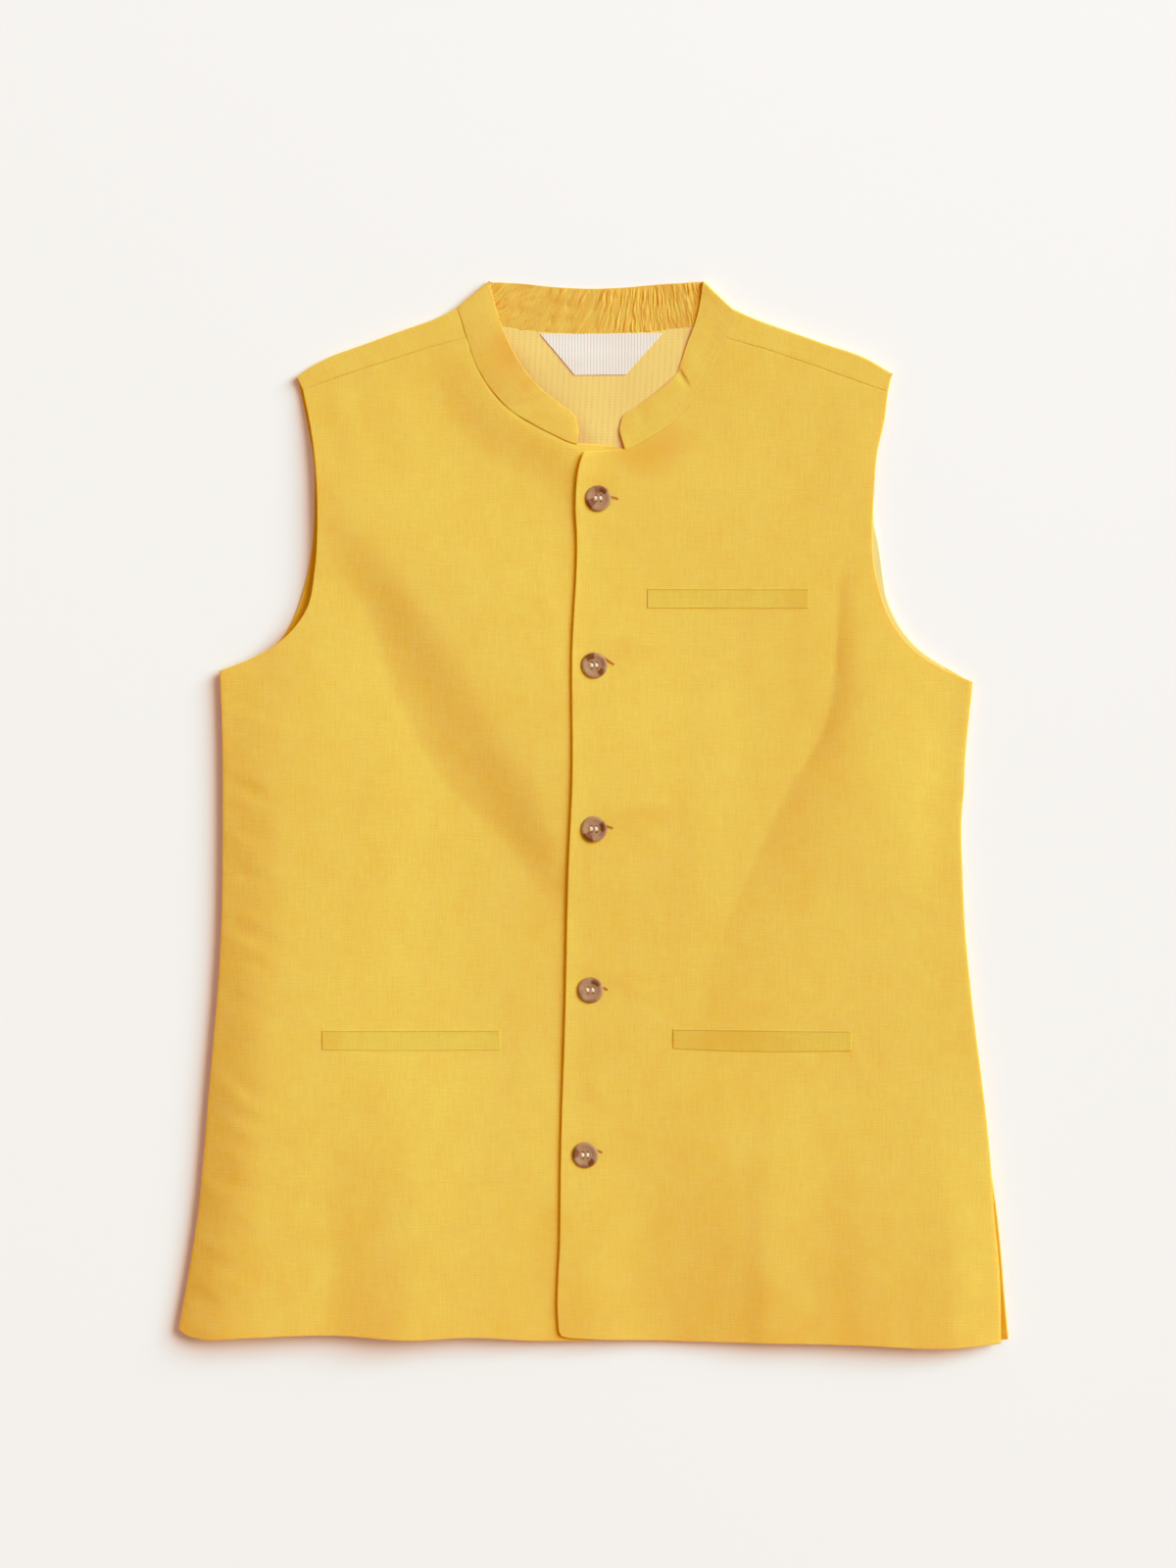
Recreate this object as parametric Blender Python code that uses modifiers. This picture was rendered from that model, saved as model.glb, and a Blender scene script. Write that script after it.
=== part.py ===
"""Nehru jacket: sleeveless, band collar, five buttons, laid flat on its back and buttoned.

Tables are in millimetres and meshes in metres. X runs across the garment, with the wearer's
left at +X, Y runs from the hem to the collar and Z up from the surface that the back lies on.
The origin is on that surface, under the middle of the garment.
"""
import bpy
import bmesh
from math import cos, hypot, pi, sin
from mathutils import Vector

MM = 0.001
WELD = 0.00001

# Cloth walls
BACK_WALL = 1.5
LINING_WALL = 1.0
FRONT_WALL = 1.5
COLLAR_WALL = 2.0
WELT_WALL = 1.0
LABEL_WALL = 0.8

# Spaces between the pieces
SEAM = 0.3
NECK_SEAM = 0.5
LAYER_SPACE = 0.4
WELT_SPACE = 0.4
BUTTON_SPACE = 0.3

# Heights of the layers above the surface
LINING_FLOOR = BACK_WALL + SEAM
LABEL_FLOOR = LINING_FLOOR + LINING_WALL + SEAM
FRONT_FLOOR = LINING_FLOOR + LINING_WALL + SEAM
EASE = 0.3                 # least air between the lining and a front
CURL = 9.0                 # width over which a front turns down to its side seam
CURL_EDGE = 3.2            # outer height of a front at its side seam
OVERLAP = FRONT_WALL + LAYER_SPACE
OVERLAP_SLOPE = 15.0       # width over which the left front comes down off the right one
PLACKET_LIFT = 1.2         # lift of the buttonhole edge
PLACKET_REACH = 14.0
FOLD_END = 60.0            # length over which a fold dies away past its ends

# Buttons
BUTTON_RADIUS = 9.15
BUTTON_HEIGHT = 3.0
BUTTON_DISH = 0.8
HOLE_RADIUS = 0.95
HOLE_SPREAD = 1.7
BUTTON_SIDES = 18
HOLE_SIDES = 6
BUTTON_RESTS = 12          # places round a button where the cloth under it is measured

# Outlines, x and y. "Right" and "left" are the wearer's.
SIDE_RIGHT = (
    (-292.0, -363.5), (-285.0, -323.6), (-280.5, -296.0), (-269.8, -185.6),
    (-262.2, -88.3), (-260.8, -6.9), (-261.5, 66.9), (-262.9, 100.5))
ARMHOLE_RIGHT = (
    (-262.9, 100.5), (-237.7, 110.4), (-225.1, 117.3), (-208.0, 133.5), (-201.1, 144.9),
    (-196.3, 169.1), (-194.2, 213.9), (-198.4, 267.7), (-204.6, 298.1))
SHOULDER_SEAM_RIGHT = (
    (-204.6, 298.1), (-175.7, 308.4), (-151.1, 316.5), (-114.1, 328.2), (-90.0, 334.4))
HEM_RIGHT = (
    (-292.0, -363.5), (-278.8, -368.0), (-245.6, -367.3), (-207.7, -365.8), (-180.0, -365.8),
    (-128.3, -368.8), (-86.9, -367.3), (-42.1, -369.8), (8.5, -369.5))
UNDERLAP = ((8.5, -369.5), (14.0, -55.0), (18.5, 258.2))

SIDE_LEFT = (
    (286.1, -371.8), (285.2, -322.9), (281.5, -282.2), (278.6, -240.8), (264.3, -115.9),
    (261.1, -80.7), (259.4, -42.1), (258.8, 0.0), (260.3, 16.0), (261.1, 35.2), (266.7, 92.7))
ARMHOLE_LEFT = (
    (266.7, 92.7), (247.7, 101.0), (236.7, 107.0), (223.9, 116.6), (212.8, 129.9),
    (207.3, 139.4), (201.8, 153.9), (197.8, 171.1), (197.2, 228.4), (199.4, 254.2),
    (204.1, 275.3), (206.8, 296.4))
SHOULDER_SEAM_LEFT = (
    (93.5, 334.4), (117.6, 327.5), (144.1, 318.8), (170.4, 309.6), (206.8, 296.4))
HEM_LEFT = (
    (-24.8, -366.0), (-4.1, -368.2), (51.1, -370.1), (202.9, -373.5), (231.8, -375.0),
    (260.8, -374.5), (286.1, -371.8))
PLACKET = (
    (-24.8, -366.0), (-23.6, -296.0), (-23.2, -240.0), (-20.0, -135.0), (-17.9, -40.7),
    (-15.2, 21.4), (-15.2, 113.2), (-11.9, 194.6), (-12.8, 217.4), (-6.9, 254.1))

# The back's own edges, where they show past the fronts or lie just inside them
BACK_SIDE_RIGHT = (
    (-290.0, -362.0), (-284.6, -323.6), (-280.1, -296.0), (-269.4, -185.6),
    (-261.8, -88.3), (-260.4, -6.9), (-261.1, 66.9), (-262.4, 100.0))
BACK_ARMHOLE_RIGHT = (
    (-262.4, 100.0), (-228.4, 115.9), (-220.8, 122.1), (-213.9, 132.5), (-205.6, 153.2),
    (-200.5, 173.5), (-196.6, 221.5), (-197.3, 249.1), (-200.9, 270.5))
BACK_SIDE_LEFT = (
    (291.9, -369.2), (289.8, -347.1), (284.7, -288.4), (278.4, -240.8), (263.9, -115.9),
    (260.7, -80.7), (259.0, -42.1), (258.4, 0.0), (259.9, 16.0), (260.7, 35.2), (266.2, 92.2))
BACK_ARMHOLE_LEFT = (
    (266.2, 92.2), (241.0, 104.4), (226.4, 116.2), (215.3, 126.7), (205.0, 149.4),
    (202.6, 163.3), (199.0, 187.0), (196.5, 215.0), (197.5, 245.0), (201.5, 270.0))
BACK_HEM = (
    (-290.0, -362.0), (-207.7, -364.5), (-86.9, -366.0), (51.1, -368.5), (202.9, -372.0),
    (260.8, -373.0), (291.9, -369.2))
SHOULDER_FOLD_RIGHT = (
    (-208.9, 307.3), (-200.3, 313.4), (-188.0, 320.2), (-163.5, 329.4), (-131.3, 341.1),
    (-110.4, 348.5), (-98.0, 355.4))
SHOULDER_FOLD_LEFT = (
    (99.6, 354.6), (111.1, 349.1), (137.3, 339.5), (163.9, 330.1), (190.2, 320.9), (210.0, 309.6))

LINING_SIDE_RIGHT = ((-276.0, -350.0), (-260.0, -185.6), (-251.5, -6.9), (-252.0, 93.0))
LINING_ARMHOLE_RIGHT = (
    (-252.0, 93.0), (-226.0, 106.0), (-207.0, 127.0), (-198.0, 155.0), (-191.0, 215.0),
    (-195.0, 262.0), (-199.0, 289.0))
LINING_SIDE_LEFT = (
    (277.0, -354.0), (266.0, -235.0), (251.0, -80.7), (249.5, 0.0), (252.0, 60.0), (253.0, 93.0))
LINING_ARMHOLE_LEFT = (
    (253.0, 93.0), (241.6, 105.2), (227.0, 116.9), (216.0, 127.3), (205.7, 149.7),
    (203.3, 163.5), (199.7, 187.0), (194.0, 215.0), (194.0, 245.0), (197.0, 268.0),
    (200.5, 288.0))
LINING_HEM = ((-276.0, -350.0), (-86.9, -354.0), (120.0, -358.0), (277.0, -354.0))
LINING_SHOULDER_RIGHT = (
    (-199.0, 289.0), (-163.5, 318.5), (-120.0, 334.0), (-95.0, 340.5), (-64.7, 342.4))
LINING_SHOULDER_LEFT = (
    (71.4, 342.6), (99.0, 340.5), (124.0, 333.0), (163.9, 318.5), (200.5, 288.0))

# Collar stations from the right front end, round the back, to the left front end: x and y of
# the seam edge, x and y of the free edge, and the outer face's height at the one and the other
COLLAR_RIGHT = (
    (-11.6, 259.5, -10.5, 271.5, 6.0, 6.9),
    (-15.0, 259.9, -12.0, 279.3, 6.0, 7.1),
    (-28.5, 266.2, -19.5, 285.8, 6.1, 7.6),
    (-42.1, 273.1, -31.0, 293.6, 6.2, 8.0),
    (-58.5, 283.4, -40.5, 303.0, 6.3, 8.3),
    (-71.9, 297.4, -49.5, 313.5, 6.3, 8.4),
    (-82.7, 315.2, -57.3, 327.6, 6.3, 8.3),
    (-89.5, 334.6, -64.9, 345.6, 6.2, 8.0),
    (-94.0, 349.0, -70.6, 365.0, 6.2, 7.4))
COLLAR_CORNER_RIGHT = (-96.7, 355.7, -73.6, 374.8, 6.2, 7.0)
COLLAR_BACK = (
    (-64.2, 342.9, -53.1, 373.3, 0.0, 0.0),
    (-25.8, 338.1, -25.8, 370.6, 0.0, 0.0),
    (-4.1, 337.4, -4.1, 369.6, 0.0, 0.0),
    (15.2, 337.7, 15.2, 370.0, 0.0, 0.0),
    (35.6, 338.8, 35.6, 371.8, 0.0, 0.0),
    (71.1, 343.1, 55.9, 373.0, 0.0, 0.0))
COLLAR_CORNER_LEFT = (98.3, 354.5, 77.2, 374.8, 6.2, 7.0)
COLLAR_LEFT = (
    (95.5, 344.5, 75.5, 364.5, 6.3, 7.4),
    (93.0, 334.6, 72.6, 349.8, 6.4, 8.0),
    (85.6, 319.1, 66.0, 328.6, 6.6, 8.4),
    (77.6, 302.8, 60.2, 313.2, 6.8, 8.6),
    (66.5, 286.8, 52.0, 303.5, 7.0, 8.7),
    (54.2, 274.3, 42.0, 295.8, 7.3, 8.7),
    (39.5, 264.8, 28.8, 286.4, 7.8, 8.7),
    (28.2, 258.4, 20.8, 279.5, 8.2, 8.7),
    (22.2, 255.6, 18.7, 269.5, 8.2, 8.6))
COLLAR_STEPS = 2           # rows made between one station and the next
COLLAR_ACROSS = 4
SHOULDER_STATION = 2       # stations from a folded corner down to the shoulder seam
BEND_STEPS = 6             # rows round a folded edge

# Largest folds of the fronts: x and y of a ridge's one end and of its other end, the width of
# its slope on the left and on the right of that direction, and its rise
FOLDS = (
    (-151.0, 188.0, -30.0, -20.0, 150.0, 44.0, 1.5),
    (220.0, 125.0, 134.0, -124.0, 70.0, 36.0, 1.7),
    (-132.0, -185.0, -125.0, -368.0, 80.0, 52.0, 1.5),
    (152.0, -205.0, 178.0, -365.0, 70.0, 95.0, 1.5),
    (-32.0, 259.0, -10.0, 205.0, 34.0, 40.0, 0.8),
    (-150.0, 300.0, -120.0, 250.0, 60.0, 26.0, 0.7))

WELT_HEIGHT = 14.0
WELTS = {
    # left edge, right edge, height of the top seam at each, sag of the lower edge
    "chest_welt": (37.8, 151.0, 158.4, 158.4, 0.0),
    "pocket_welt_right": (-190.2, -65.6, -151.3, -151.8, 0.4),
    "pocket_welt_left": (55.8, 181.1, -150.8, -152.3, 1.4)}

LABEL = ((-37.8, 337.4), (-13.5, 308.2), (22.6, 308.6), (48.6, 338.0))
BUTTONS = ((3.1, 221.5), (0.3, 104.1), (0.1, -10.6), (-2.4, -123.8), (-5.9, -239.4))

# Rows and columns of the panels
SIDE_ROWS = 20
ARMHOLE_ROWS = 16
SHOULDER_COLUMNS = 8
FRONT_END_COLUMNS = 3
SIDE_COLUMNS = (0.03, 0.075)     # two more columns where a front curls down to its side
BACK_SIDE_ROWS = 14
BACK_SHOULDER_COLUMNS = 6
LINING_SIDE_ROWS = 8
LINING_ARMHOLE_ROWS = 9
LINING_SHOULDER_COLUMNS = 5

# Base colours, linear
SHELL_CLOTH = (0.81, 0.51, 0.09)
COLLAR_CLOTH = (0.79, 0.49, 0.085)
WELT_CLOTH = (0.76, 0.46, 0.075)
LINING_CLOTH = (0.83, 0.58, 0.20)
LABEL_TAPE = (0.82, 0.75, 0.67)
BUTTON_HORN = (0.35, 0.19, 0.09)


def spline(rows, steps):
    """Rows of a smooth table through every row of a table, with steps from one to the next."""
    knots = [Vector(row) for row in rows]
    knots = [2 * knots[0] - knots[1]] + knots + [2 * knots[-1] - knots[-2]]
    made = []
    for before, start, end, after in zip(knots, knots[1:], knots[2:], knots[3:]):
        for step in range(steps):
            t = step / steps
            made.append(0.5 * (
                2 * start + (end - before) * t
                + (2 * before - 5 * start + 4 * end - after) * t ** 2
                + (3 * start - before - 3 * end + after) * t ** 3))
    return made + [knots[-2]]


def at_shares(line, shares):
    """The points at the given shares of a line's length."""
    lengths = [0.0]
    for start, end in zip(line, line[1:]):
        lengths.append(lengths[-1] + (end - start).length)
    points = []
    span = 0
    for share in shares:
        goal = share * lengths[-1]
        while span < len(line) - 2 and lengths[span + 1] < goal:
            span += 1
        along = (goal - lengths[span]) / (lengths[span + 1] - lengths[span])
        points.append(line[span].lerp(line[span + 1], min(1.0, along)))
    return points


def even(count):
    """Even shares from 0 to 1."""
    return [step / count for step in range(count + 1)]


def edge(*pieces):
    """One edge of a panel from (table, shares) pieces, with a corner at each join."""
    points = []
    for table, shares in pieces:
        points = points[:-1] + at_shares(spline(table, 8), shares)
    return points


def shares_of(points, axis):
    """How far each point of an edge is from its first to its last along an axis."""
    first, last = points[0][axis], points[-1][axis]
    return [(point[axis] - first) / (last - first) for point in points]


def moved_right(line, distance):
    """A line moved square to itself, to the right of its direction."""
    moved = []
    for index, point in enumerate(line):
        ahead = line[min(index + 1, len(line) - 1)]
        behind = line[max(index - 1, 0)]
        way = (ahead - behind).normalized()
        moved.append(point + distance * Vector((way.y, -way.x)))
    return moved


def patch(bottom, top, left, right):
    """Rows of points that fill four edges. Left and right run up, bottom and top run to +X.

    Each row runs straight from the left edge to the right one, plus what is left of the
    bottom's and the top's own shape, which dies away from those edges.
    """
    across, up = shares_of(top, 0), shares_of(left, 1)
    rows = []
    for row, v in enumerate(up):
        points = []
        for column, u in enumerate(across):
            hem_shape = bottom[column] - bottom[0].lerp(bottom[-1], u)
            top_shape = top[column] - top[0].lerp(top[-1], u)
            straight = left[row].lerp(right[row], u)
            points.append(straight + (1 - v) ** 3 * hem_shape + v ** 3 * top_shape)
        rows.append(points)
    return rows


def lay(rows, height):
    """Lay flat rows at the height that a function gives for each point."""
    return [[Vector((point.x, point.y, height(point.x, point.y))) for point in row] for row in rows]


def x_at(table, y):
    """Where a line that runs up stands at a height y."""
    for (x1, y1), (x2, y2) in zip(table, table[1:]):
        if y <= y2:
            return x1 + (x2 - x1) * max(0.0, (y - y1) / (y2 - y1))
    return table[-1][0]


def ramp(share):
    """Smooth rise from 0 to 1."""
    share = min(1.0, max(0.0, share))
    return share * share * (3 - 2 * share)


def fold_rise(x, y):
    """Total rise of the large folds at a point."""
    total = 0.0
    for x1, y1, x2, y2, left, right, rise in FOLDS:
        length = hypot(x2 - x1, y2 - y1)
        along = ((x - x1) * (x2 - x1) + (y - y1) * (y2 - y1)) / length
        aside = ((y - y1) * (x2 - x1) - (x - x1) * (y2 - y1)) / length
        past = max(-along, along - length, 0.0) / FOLD_END
        reach = min(1.0, hypot(aside / (left if aside > 0 else right), past))
        total += rise * 0.5 * (1 + cos(pi * reach))
    return total


def curled(height, distance):
    """Outer height of a front near its side seam, where it turns down to the back."""
    share = max(0.0, 1 - distance / CURL)
    return CURL_EDGE + (height - CURL_EDGE) * (1 - share ** 2)


def right_front_top(x, y):
    """Outer height of the right front, which lies on the lining."""
    height = FRONT_FLOOR + EASE + fold_rise(x, y) + FRONT_WALL
    return curled(height, x - x_at(SIDE_RIGHT, y))


def left_front_top(x, y):
    """Outer height of the left front, which steps up over the right one to its placket edge."""
    height = FRONT_FLOOR + EASE + fold_rise(x, y) + FRONT_WALL
    height += OVERLAP * ramp((x_at(UNDERLAP, y) + 2 + OVERLAP_SLOPE - x) / OVERLAP_SLOPE)
    height += PLACKET_LIFT * max(0.0, 1 - (x - x_at(PLACKET, y)) / PLACKET_REACH) ** 2
    return curled(height, x_at(SIDE_LEFT, y) - x)


def yoke_top(x, y):
    """Outer height of the back where it comes over the shoulder to its seam."""
    return FRONT_FLOOR + EASE + fold_rise(x, y) + BACK_WALL


def material(name, colour, roughness):
    """A plain Principled material."""
    made = bpy.data.materials.new(name)
    made.use_nodes = True
    shader = made.node_tree.nodes["Principled BSDF"]
    shader.inputs["Base Color"].default_value = (*colour, 1)
    shader.inputs["Roughness"].default_value = roughness
    shader.inputs["Metallic"].default_value = 0.0
    return made


def sheet(name, grids, wall, colour, faces_down=False):
    """A cloth piece: its outer face from welded grids, with a wall behind it."""
    mesh = bpy.data.meshes.new(name)
    face = bmesh.new()
    for grid in grids:
        rows, columns = len(grid) - 1, len(grid[0]) - 1
        made = bmesh.ops.create_grid(face, x_segments=columns, y_segments=rows, size=1.0)
        for vertex in made["verts"]:
            column = round((vertex.co.x + 1) / 2 * columns)
            row = round((vertex.co.y + 1) / 2 * rows)
            vertex.co = grid[row][column] * MM
    bmesh.ops.remove_doubles(face, verts=face.verts, dist=WELD)
    if faces_down:
        bmesh.ops.reverse_faces(face, faces=face.faces)
    face.to_mesh(mesh)
    face.free()
    mesh.shade_smooth()
    piece = bpy.data.objects.new(name, mesh)
    jacket.objects.link(piece)
    solid = piece.modifiers.new("wall", "SOLIDIFY")
    solid.thickness = wall * MM
    solid.offset = -1
    solid.use_even_offset = True
    mesh.materials.append(material(name, colour, 0.85))
    return piece


def bend(row, sweep, radii, base):
    """Rows that turn a row of points up and over: sweep gives the way out at each point."""
    rows = []
    for step in range(1, BEND_STEPS + 1):
        turn = pi * step / BEND_STEPS
        rows.append([
            Vector((
                point.x + way.x * radius * sin(turn),
                point.y + way.y * radius * sin(turn),
                base + radius * (1 - cos(turn))))
            for point, way, radius in zip(row, sweep, radii)])
    return rows


def collar_row(station):
    """Points across the collar from its seam to its free edge, on the outer face."""
    seam = Vector((station[0], station[1], station[4]))
    free = Vector((station[2], station[3], station[5]))
    return [seam.lerp(free, share) for share in even(COLLAR_ACROSS)]


def collar_bend(corner, outward):
    """Rows round a folded corner, from the surface up to the top layer."""
    fold = collar_row(corner)
    side = Vector((fold[-1].y - fold[0].y, fold[0].x - fold[-1].x)).normalized() * outward
    radii = [point.z / 2 for point in fold]
    flat = [Vector((p.x, p.y)) - side * radius for p, radius in zip(fold, radii)]
    start = [Vector((p.x, p.y, 0.0)) for p in flat]
    return [start] + bend(flat, [side] * len(flat), radii, 0.0)


def collar_runs():
    """The collar's rows: the right half, its bend, the back, the other bend and the left half."""
    right_bend = collar_bend(COLLAR_CORNER_RIGHT, -1)
    left_bend = collar_bend(COLLAR_CORNER_LEFT, 1)

    def run(*stations):
        return [collar_row(station) for station in spline(stations, COLLAR_STEPS)]

    def station(row):
        return (row[0].x, row[0].y, row[-1].x, row[-1].y, row[0].z, row[-1].z)

    right = run(*COLLAR_RIGHT, station(right_bend[-1]))
    back = run(station(right_bend[0]), *COLLAR_BACK, station(left_bend[0]))
    left = run(station(left_bend[-1]), *COLLAR_LEFT)
    return right, right_bend[-2:0:-1], back, left_bend[1:-1], left


def make_collar():
    """The band collar: its back half lies inner face up, and both front halves lie on top."""
    rows = [row for run in collar_runs() for row in run]
    sheet("collar", [rows], COLLAR_WALL, COLLAR_CLOTH)


def neckline(run):
    """The neck edge of a panel, just outside one run of the collar's seam."""
    return moved_right([Vector((row[0].x, row[0].y)) for row in run], NECK_SEAM)


def make_back():
    """The back lies on the surface, turns over each shoulder and meets the fronts at a seam."""
    across = even(BACK_SHOULDER_COLUMNS)
    folds = (edge((SHOULDER_FOLD_RIGHT, across)), edge((SHOULDER_FOLD_LEFT, across)))
    seams = (
        moved_right(edge((SHOULDER_SEAM_RIGHT, across)), -SEAM),
        moved_right(edge((SHOULDER_SEAM_LEFT, across)), -SEAM))
    yokes, flats = [], []
    for fold, seam in zip(folds, seams):
        radii = [yoke_top(point.x, point.y) / 2 for point in fold]
        ways = [outer - inner for outer, inner in zip(fold, moved_right(fold, 1.0))]
        flat = [p - way * radius for p, way, radius in zip(fold, ways, radii)]
        over = bend(flat, ways, radii, 0.0)
        landed = [Vector((p.x, p.y, yoke_top(p.x, p.y))) for p in seam]
        middle = [(a + b) / 2 for a, b in zip(over[-1], landed)]
        flats.append(flat)
        yokes.append([[Vector((p.x, p.y, 0.0)) for p in flat]] + over + [middle, landed])
    top = flats[0] + neckline(collar_runs()[2])[1:-1] + flats[1]
    left = edge(
        (BACK_SIDE_RIGHT, even(BACK_SIDE_ROWS)),
        (BACK_ARMHOLE_RIGHT + (tuple(top[0]),), even(ARMHOLE_ROWS)))
    right = edge(
        (BACK_SIDE_LEFT, even(BACK_SIDE_ROWS)),
        (BACK_ARMHOLE_LEFT + (tuple(top[-1]),), even(ARMHOLE_ROWS)))
    bottom = at_shares(spline(BACK_HEM, 8), shares_of(top, 0))
    flat_part = lay(patch(bottom, top, left, right), lambda x, y: 0.0)
    sheet("back", [flat_part] + yokes, BACK_WALL, SHELL_CLOTH, faces_down=True)


def make_lining():
    """The back's lining, which shows inside the neck and along the left armhole."""
    across = even(LINING_SHOULDER_COLUMNS)
    top = (
        edge((LINING_SHOULDER_RIGHT, across)) + neckline(collar_runs()[2])[3:-3]
        + edge((LINING_SHOULDER_LEFT, across)))
    side, armhole = even(LINING_SIDE_ROWS), even(LINING_ARMHOLE_ROWS)
    left = edge((LINING_SIDE_RIGHT, side), (LINING_ARMHOLE_RIGHT, armhole))
    right = edge((LINING_SIDE_LEFT, side), (LINING_ARMHOLE_LEFT, armhole))
    bottom = at_shares(spline(LINING_HEM, 8), shares_of(top, 0))
    rows = patch(bottom, top, left, right)
    sheet("back_lining", [lay(rows, lambda x, y: LINING_FLOOR + LINING_WALL)],
          LINING_WALL, LINING_CLOTH)


def make_right_front():
    """The right front lies on the lining, and its underlap runs under the left front."""
    seam_rows = collar_runs()[0][:-SHOULDER_STATION * COLLAR_STEPS]
    neck = neckline(seam_rows[::-1])
    front_end = edge(((neck[-1], Vector(UNDERLAP[-1])), even(FRONT_END_COLUMNS)))
    shoulder = sorted(SIDE_COLUMNS + tuple(even(SHOULDER_COLUMNS)))
    top = edge((SHOULDER_SEAM_RIGHT, shoulder)) + neck[1:-1] + front_end
    left = edge((SIDE_RIGHT, even(SIDE_ROWS)), (ARMHOLE_RIGHT, even(ARMHOLE_ROWS)))
    right = at_shares(spline(UNDERLAP, 8), shares_of(left, 1))
    bottom = at_shares(spline(HEM_RIGHT, 8), shares_of(top, 0))
    rows = patch(bottom, top, left, right)
    sheet("front_right", [lay(rows, right_front_top)], FRONT_WALL, SHELL_CLOTH)


def make_left_front():
    """The left front carries the buttonholes and laps over the right front."""
    seam_rows = collar_runs()[4][SHOULDER_STATION * COLLAR_STEPS:]
    neck = neckline(seam_rows[::-1])
    front_end = edge(((Vector(PLACKET[-1]), neck[0]), even(FRONT_END_COLUMNS)))
    shoulder = [1 - share for share in sorted(SIDE_COLUMNS + tuple(even(SHOULDER_COLUMNS)))][::-1]
    top = front_end + neck[1:-1] + edge((SHOULDER_SEAM_LEFT, shoulder))
    right = edge((SIDE_LEFT, even(SIDE_ROWS)), (ARMHOLE_LEFT, even(ARMHOLE_ROWS)))
    left = at_shares(spline(PLACKET, 8), shares_of(right, 1))
    bottom = at_shares(spline(HEM_LEFT, 8), shares_of(top, 0))
    rows = patch(bottom, top, left, right)
    sheet("front_left", [lay(rows, left_front_top)], FRONT_WALL, SHELL_CLOTH)


def make_welt(name, front_top):
    """A pocket's welt, laid on its front."""
    left, right, left_top, right_top, sag = WELTS[name]
    columns, rows = 10, 2

    def row_at(share):
        points = []
        for step in range(columns + 1):
            u = step / columns
            y = left_top + (right_top - left_top) * u - WELT_HEIGHT * (1 - share)
            points.append(Vector((left + (right - left) * u, y - sag * (1 - share) * sin(pi * u))))
        return points

    grid = [row_at(row / rows) for row in range(rows + 1)]
    rise = WELT_SPACE + WELT_WALL
    sheet(name, [lay(grid, lambda x, y: front_top(x, y) + rise)], WELT_WALL, WELT_CLOTH)


def make_label():
    """The neck label, a flat woven piece on the lining."""
    outline = bpy.data.curves.new("label", "CURVE")
    outline.dimensions = "2D"
    outline.fill_mode = "BOTH"
    outline.extrude = LABEL_WALL / 2 * MM
    line = outline.splines.new("POLY")
    line.points.add(len(LABEL) - 1)
    for point, (x, y) in zip(line.points, LABEL):
        point.co = (x * MM, y * MM, 0, 1)
    line.use_cyclic_u = True
    label = bpy.data.objects.new("label", outline)
    label.location.z = (LABEL_FLOOR + LABEL_WALL / 2) * MM
    outline.materials.append(material("label", LABEL_TAPE, 0.8))
    jacket.objects.link(label)


def button_mesh():
    """One four-hole button: a turned, dished disc with its holes cut through."""
    foot, rim = BUTTON_RADIUS - 2.2, BUTTON_RADIUS - 1.5
    profile = (
        (0.0, BUTTON_HEIGHT - BUTTON_DISH), (rim - 2.6, BUTTON_HEIGHT - BUTTON_DISH),
        (rim - 1.0, BUTTON_HEIGHT - 0.15), (rim, BUTTON_HEIGHT), (BUTTON_RADIUS, 1.9),
        (BUTTON_RADIUS, 1.3), (foot, 0.0), (0.0, 0.0))
    outline = bpy.data.meshes.new("button_profile")
    outline.from_pydata(
        [(r * MM, 0, z * MM) for r, z in profile],
        [(index, index + 1) for index in range(len(profile) - 1)], [])
    blank = bpy.data.objects.new("button_blank", outline)
    jacket.objects.link(blank)
    turn = blank.modifiers.new("turn", "SCREW")
    turn.steps = turn.render_steps = BUTTON_SIDES
    turn.use_merge_vertices = True
    turn.merge_threshold = WELD
    holes = bmesh.new()
    for x, y in ((1, 1), (-1, 1), (-1, -1), (1, -1)):
        made = bmesh.ops.create_cone(
            holes, cap_ends=True, segments=HOLE_SIDES, radius1=HOLE_RADIUS * MM,
            radius2=HOLE_RADIUS * MM, depth=3 * BUTTON_HEIGHT * MM)
        bmesh.ops.translate(
            holes, verts=made["verts"], vec=(x * HOLE_SPREAD * MM, y * HOLE_SPREAD * MM, 0))
    hole_mesh = bpy.data.meshes.new("button_holes")
    holes.to_mesh(hole_mesh)
    holes.free()
    cutter = bpy.data.objects.new("button_holes", hole_mesh)
    cutter.hide_render = True
    cutter.display_type = "WIRE"
    cutters.objects.link(cutter)
    cut = blank.modifiers.new("holes", "BOOLEAN")
    cut.operation = "DIFFERENCE"
    cut.solver = "EXACT"
    cut.object = cutter
    bpy.context.view_layer.update()
    ready = blank.evaluated_get(bpy.context.evaluated_depsgraph_get())
    mesh = bpy.data.meshes.new_from_object(ready)
    mesh.name = "button"
    bpy.data.objects.remove(blank)
    return mesh


def make_buttons():
    """Five buttons on the left front, each just above the highest cloth under it."""
    mesh = button_mesh()
    mesh.materials.append(material("button", BUTTON_HORN, 0.35))
    ring = [2 * pi * share for share in even(BUTTON_RESTS)]
    for number, (x, y) in enumerate(BUTTONS, 1):
        cloth = max(
            left_front_top(x + BUTTON_RADIUS * cos(turn), y + BUTTON_RADIUS * sin(turn))
            for turn in ring)
        button = bpy.data.objects.new(f"button_{number}", mesh)
        button.location = (x * MM, y * MM, (cloth + BUTTON_SPACE) * MM)
        jacket.objects.link(button)


def new_collection(name):
    """A collection in the scene."""
    made = bpy.data.collections.new(name)
    bpy.context.scene.collection.children.link(made)
    return made


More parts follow.
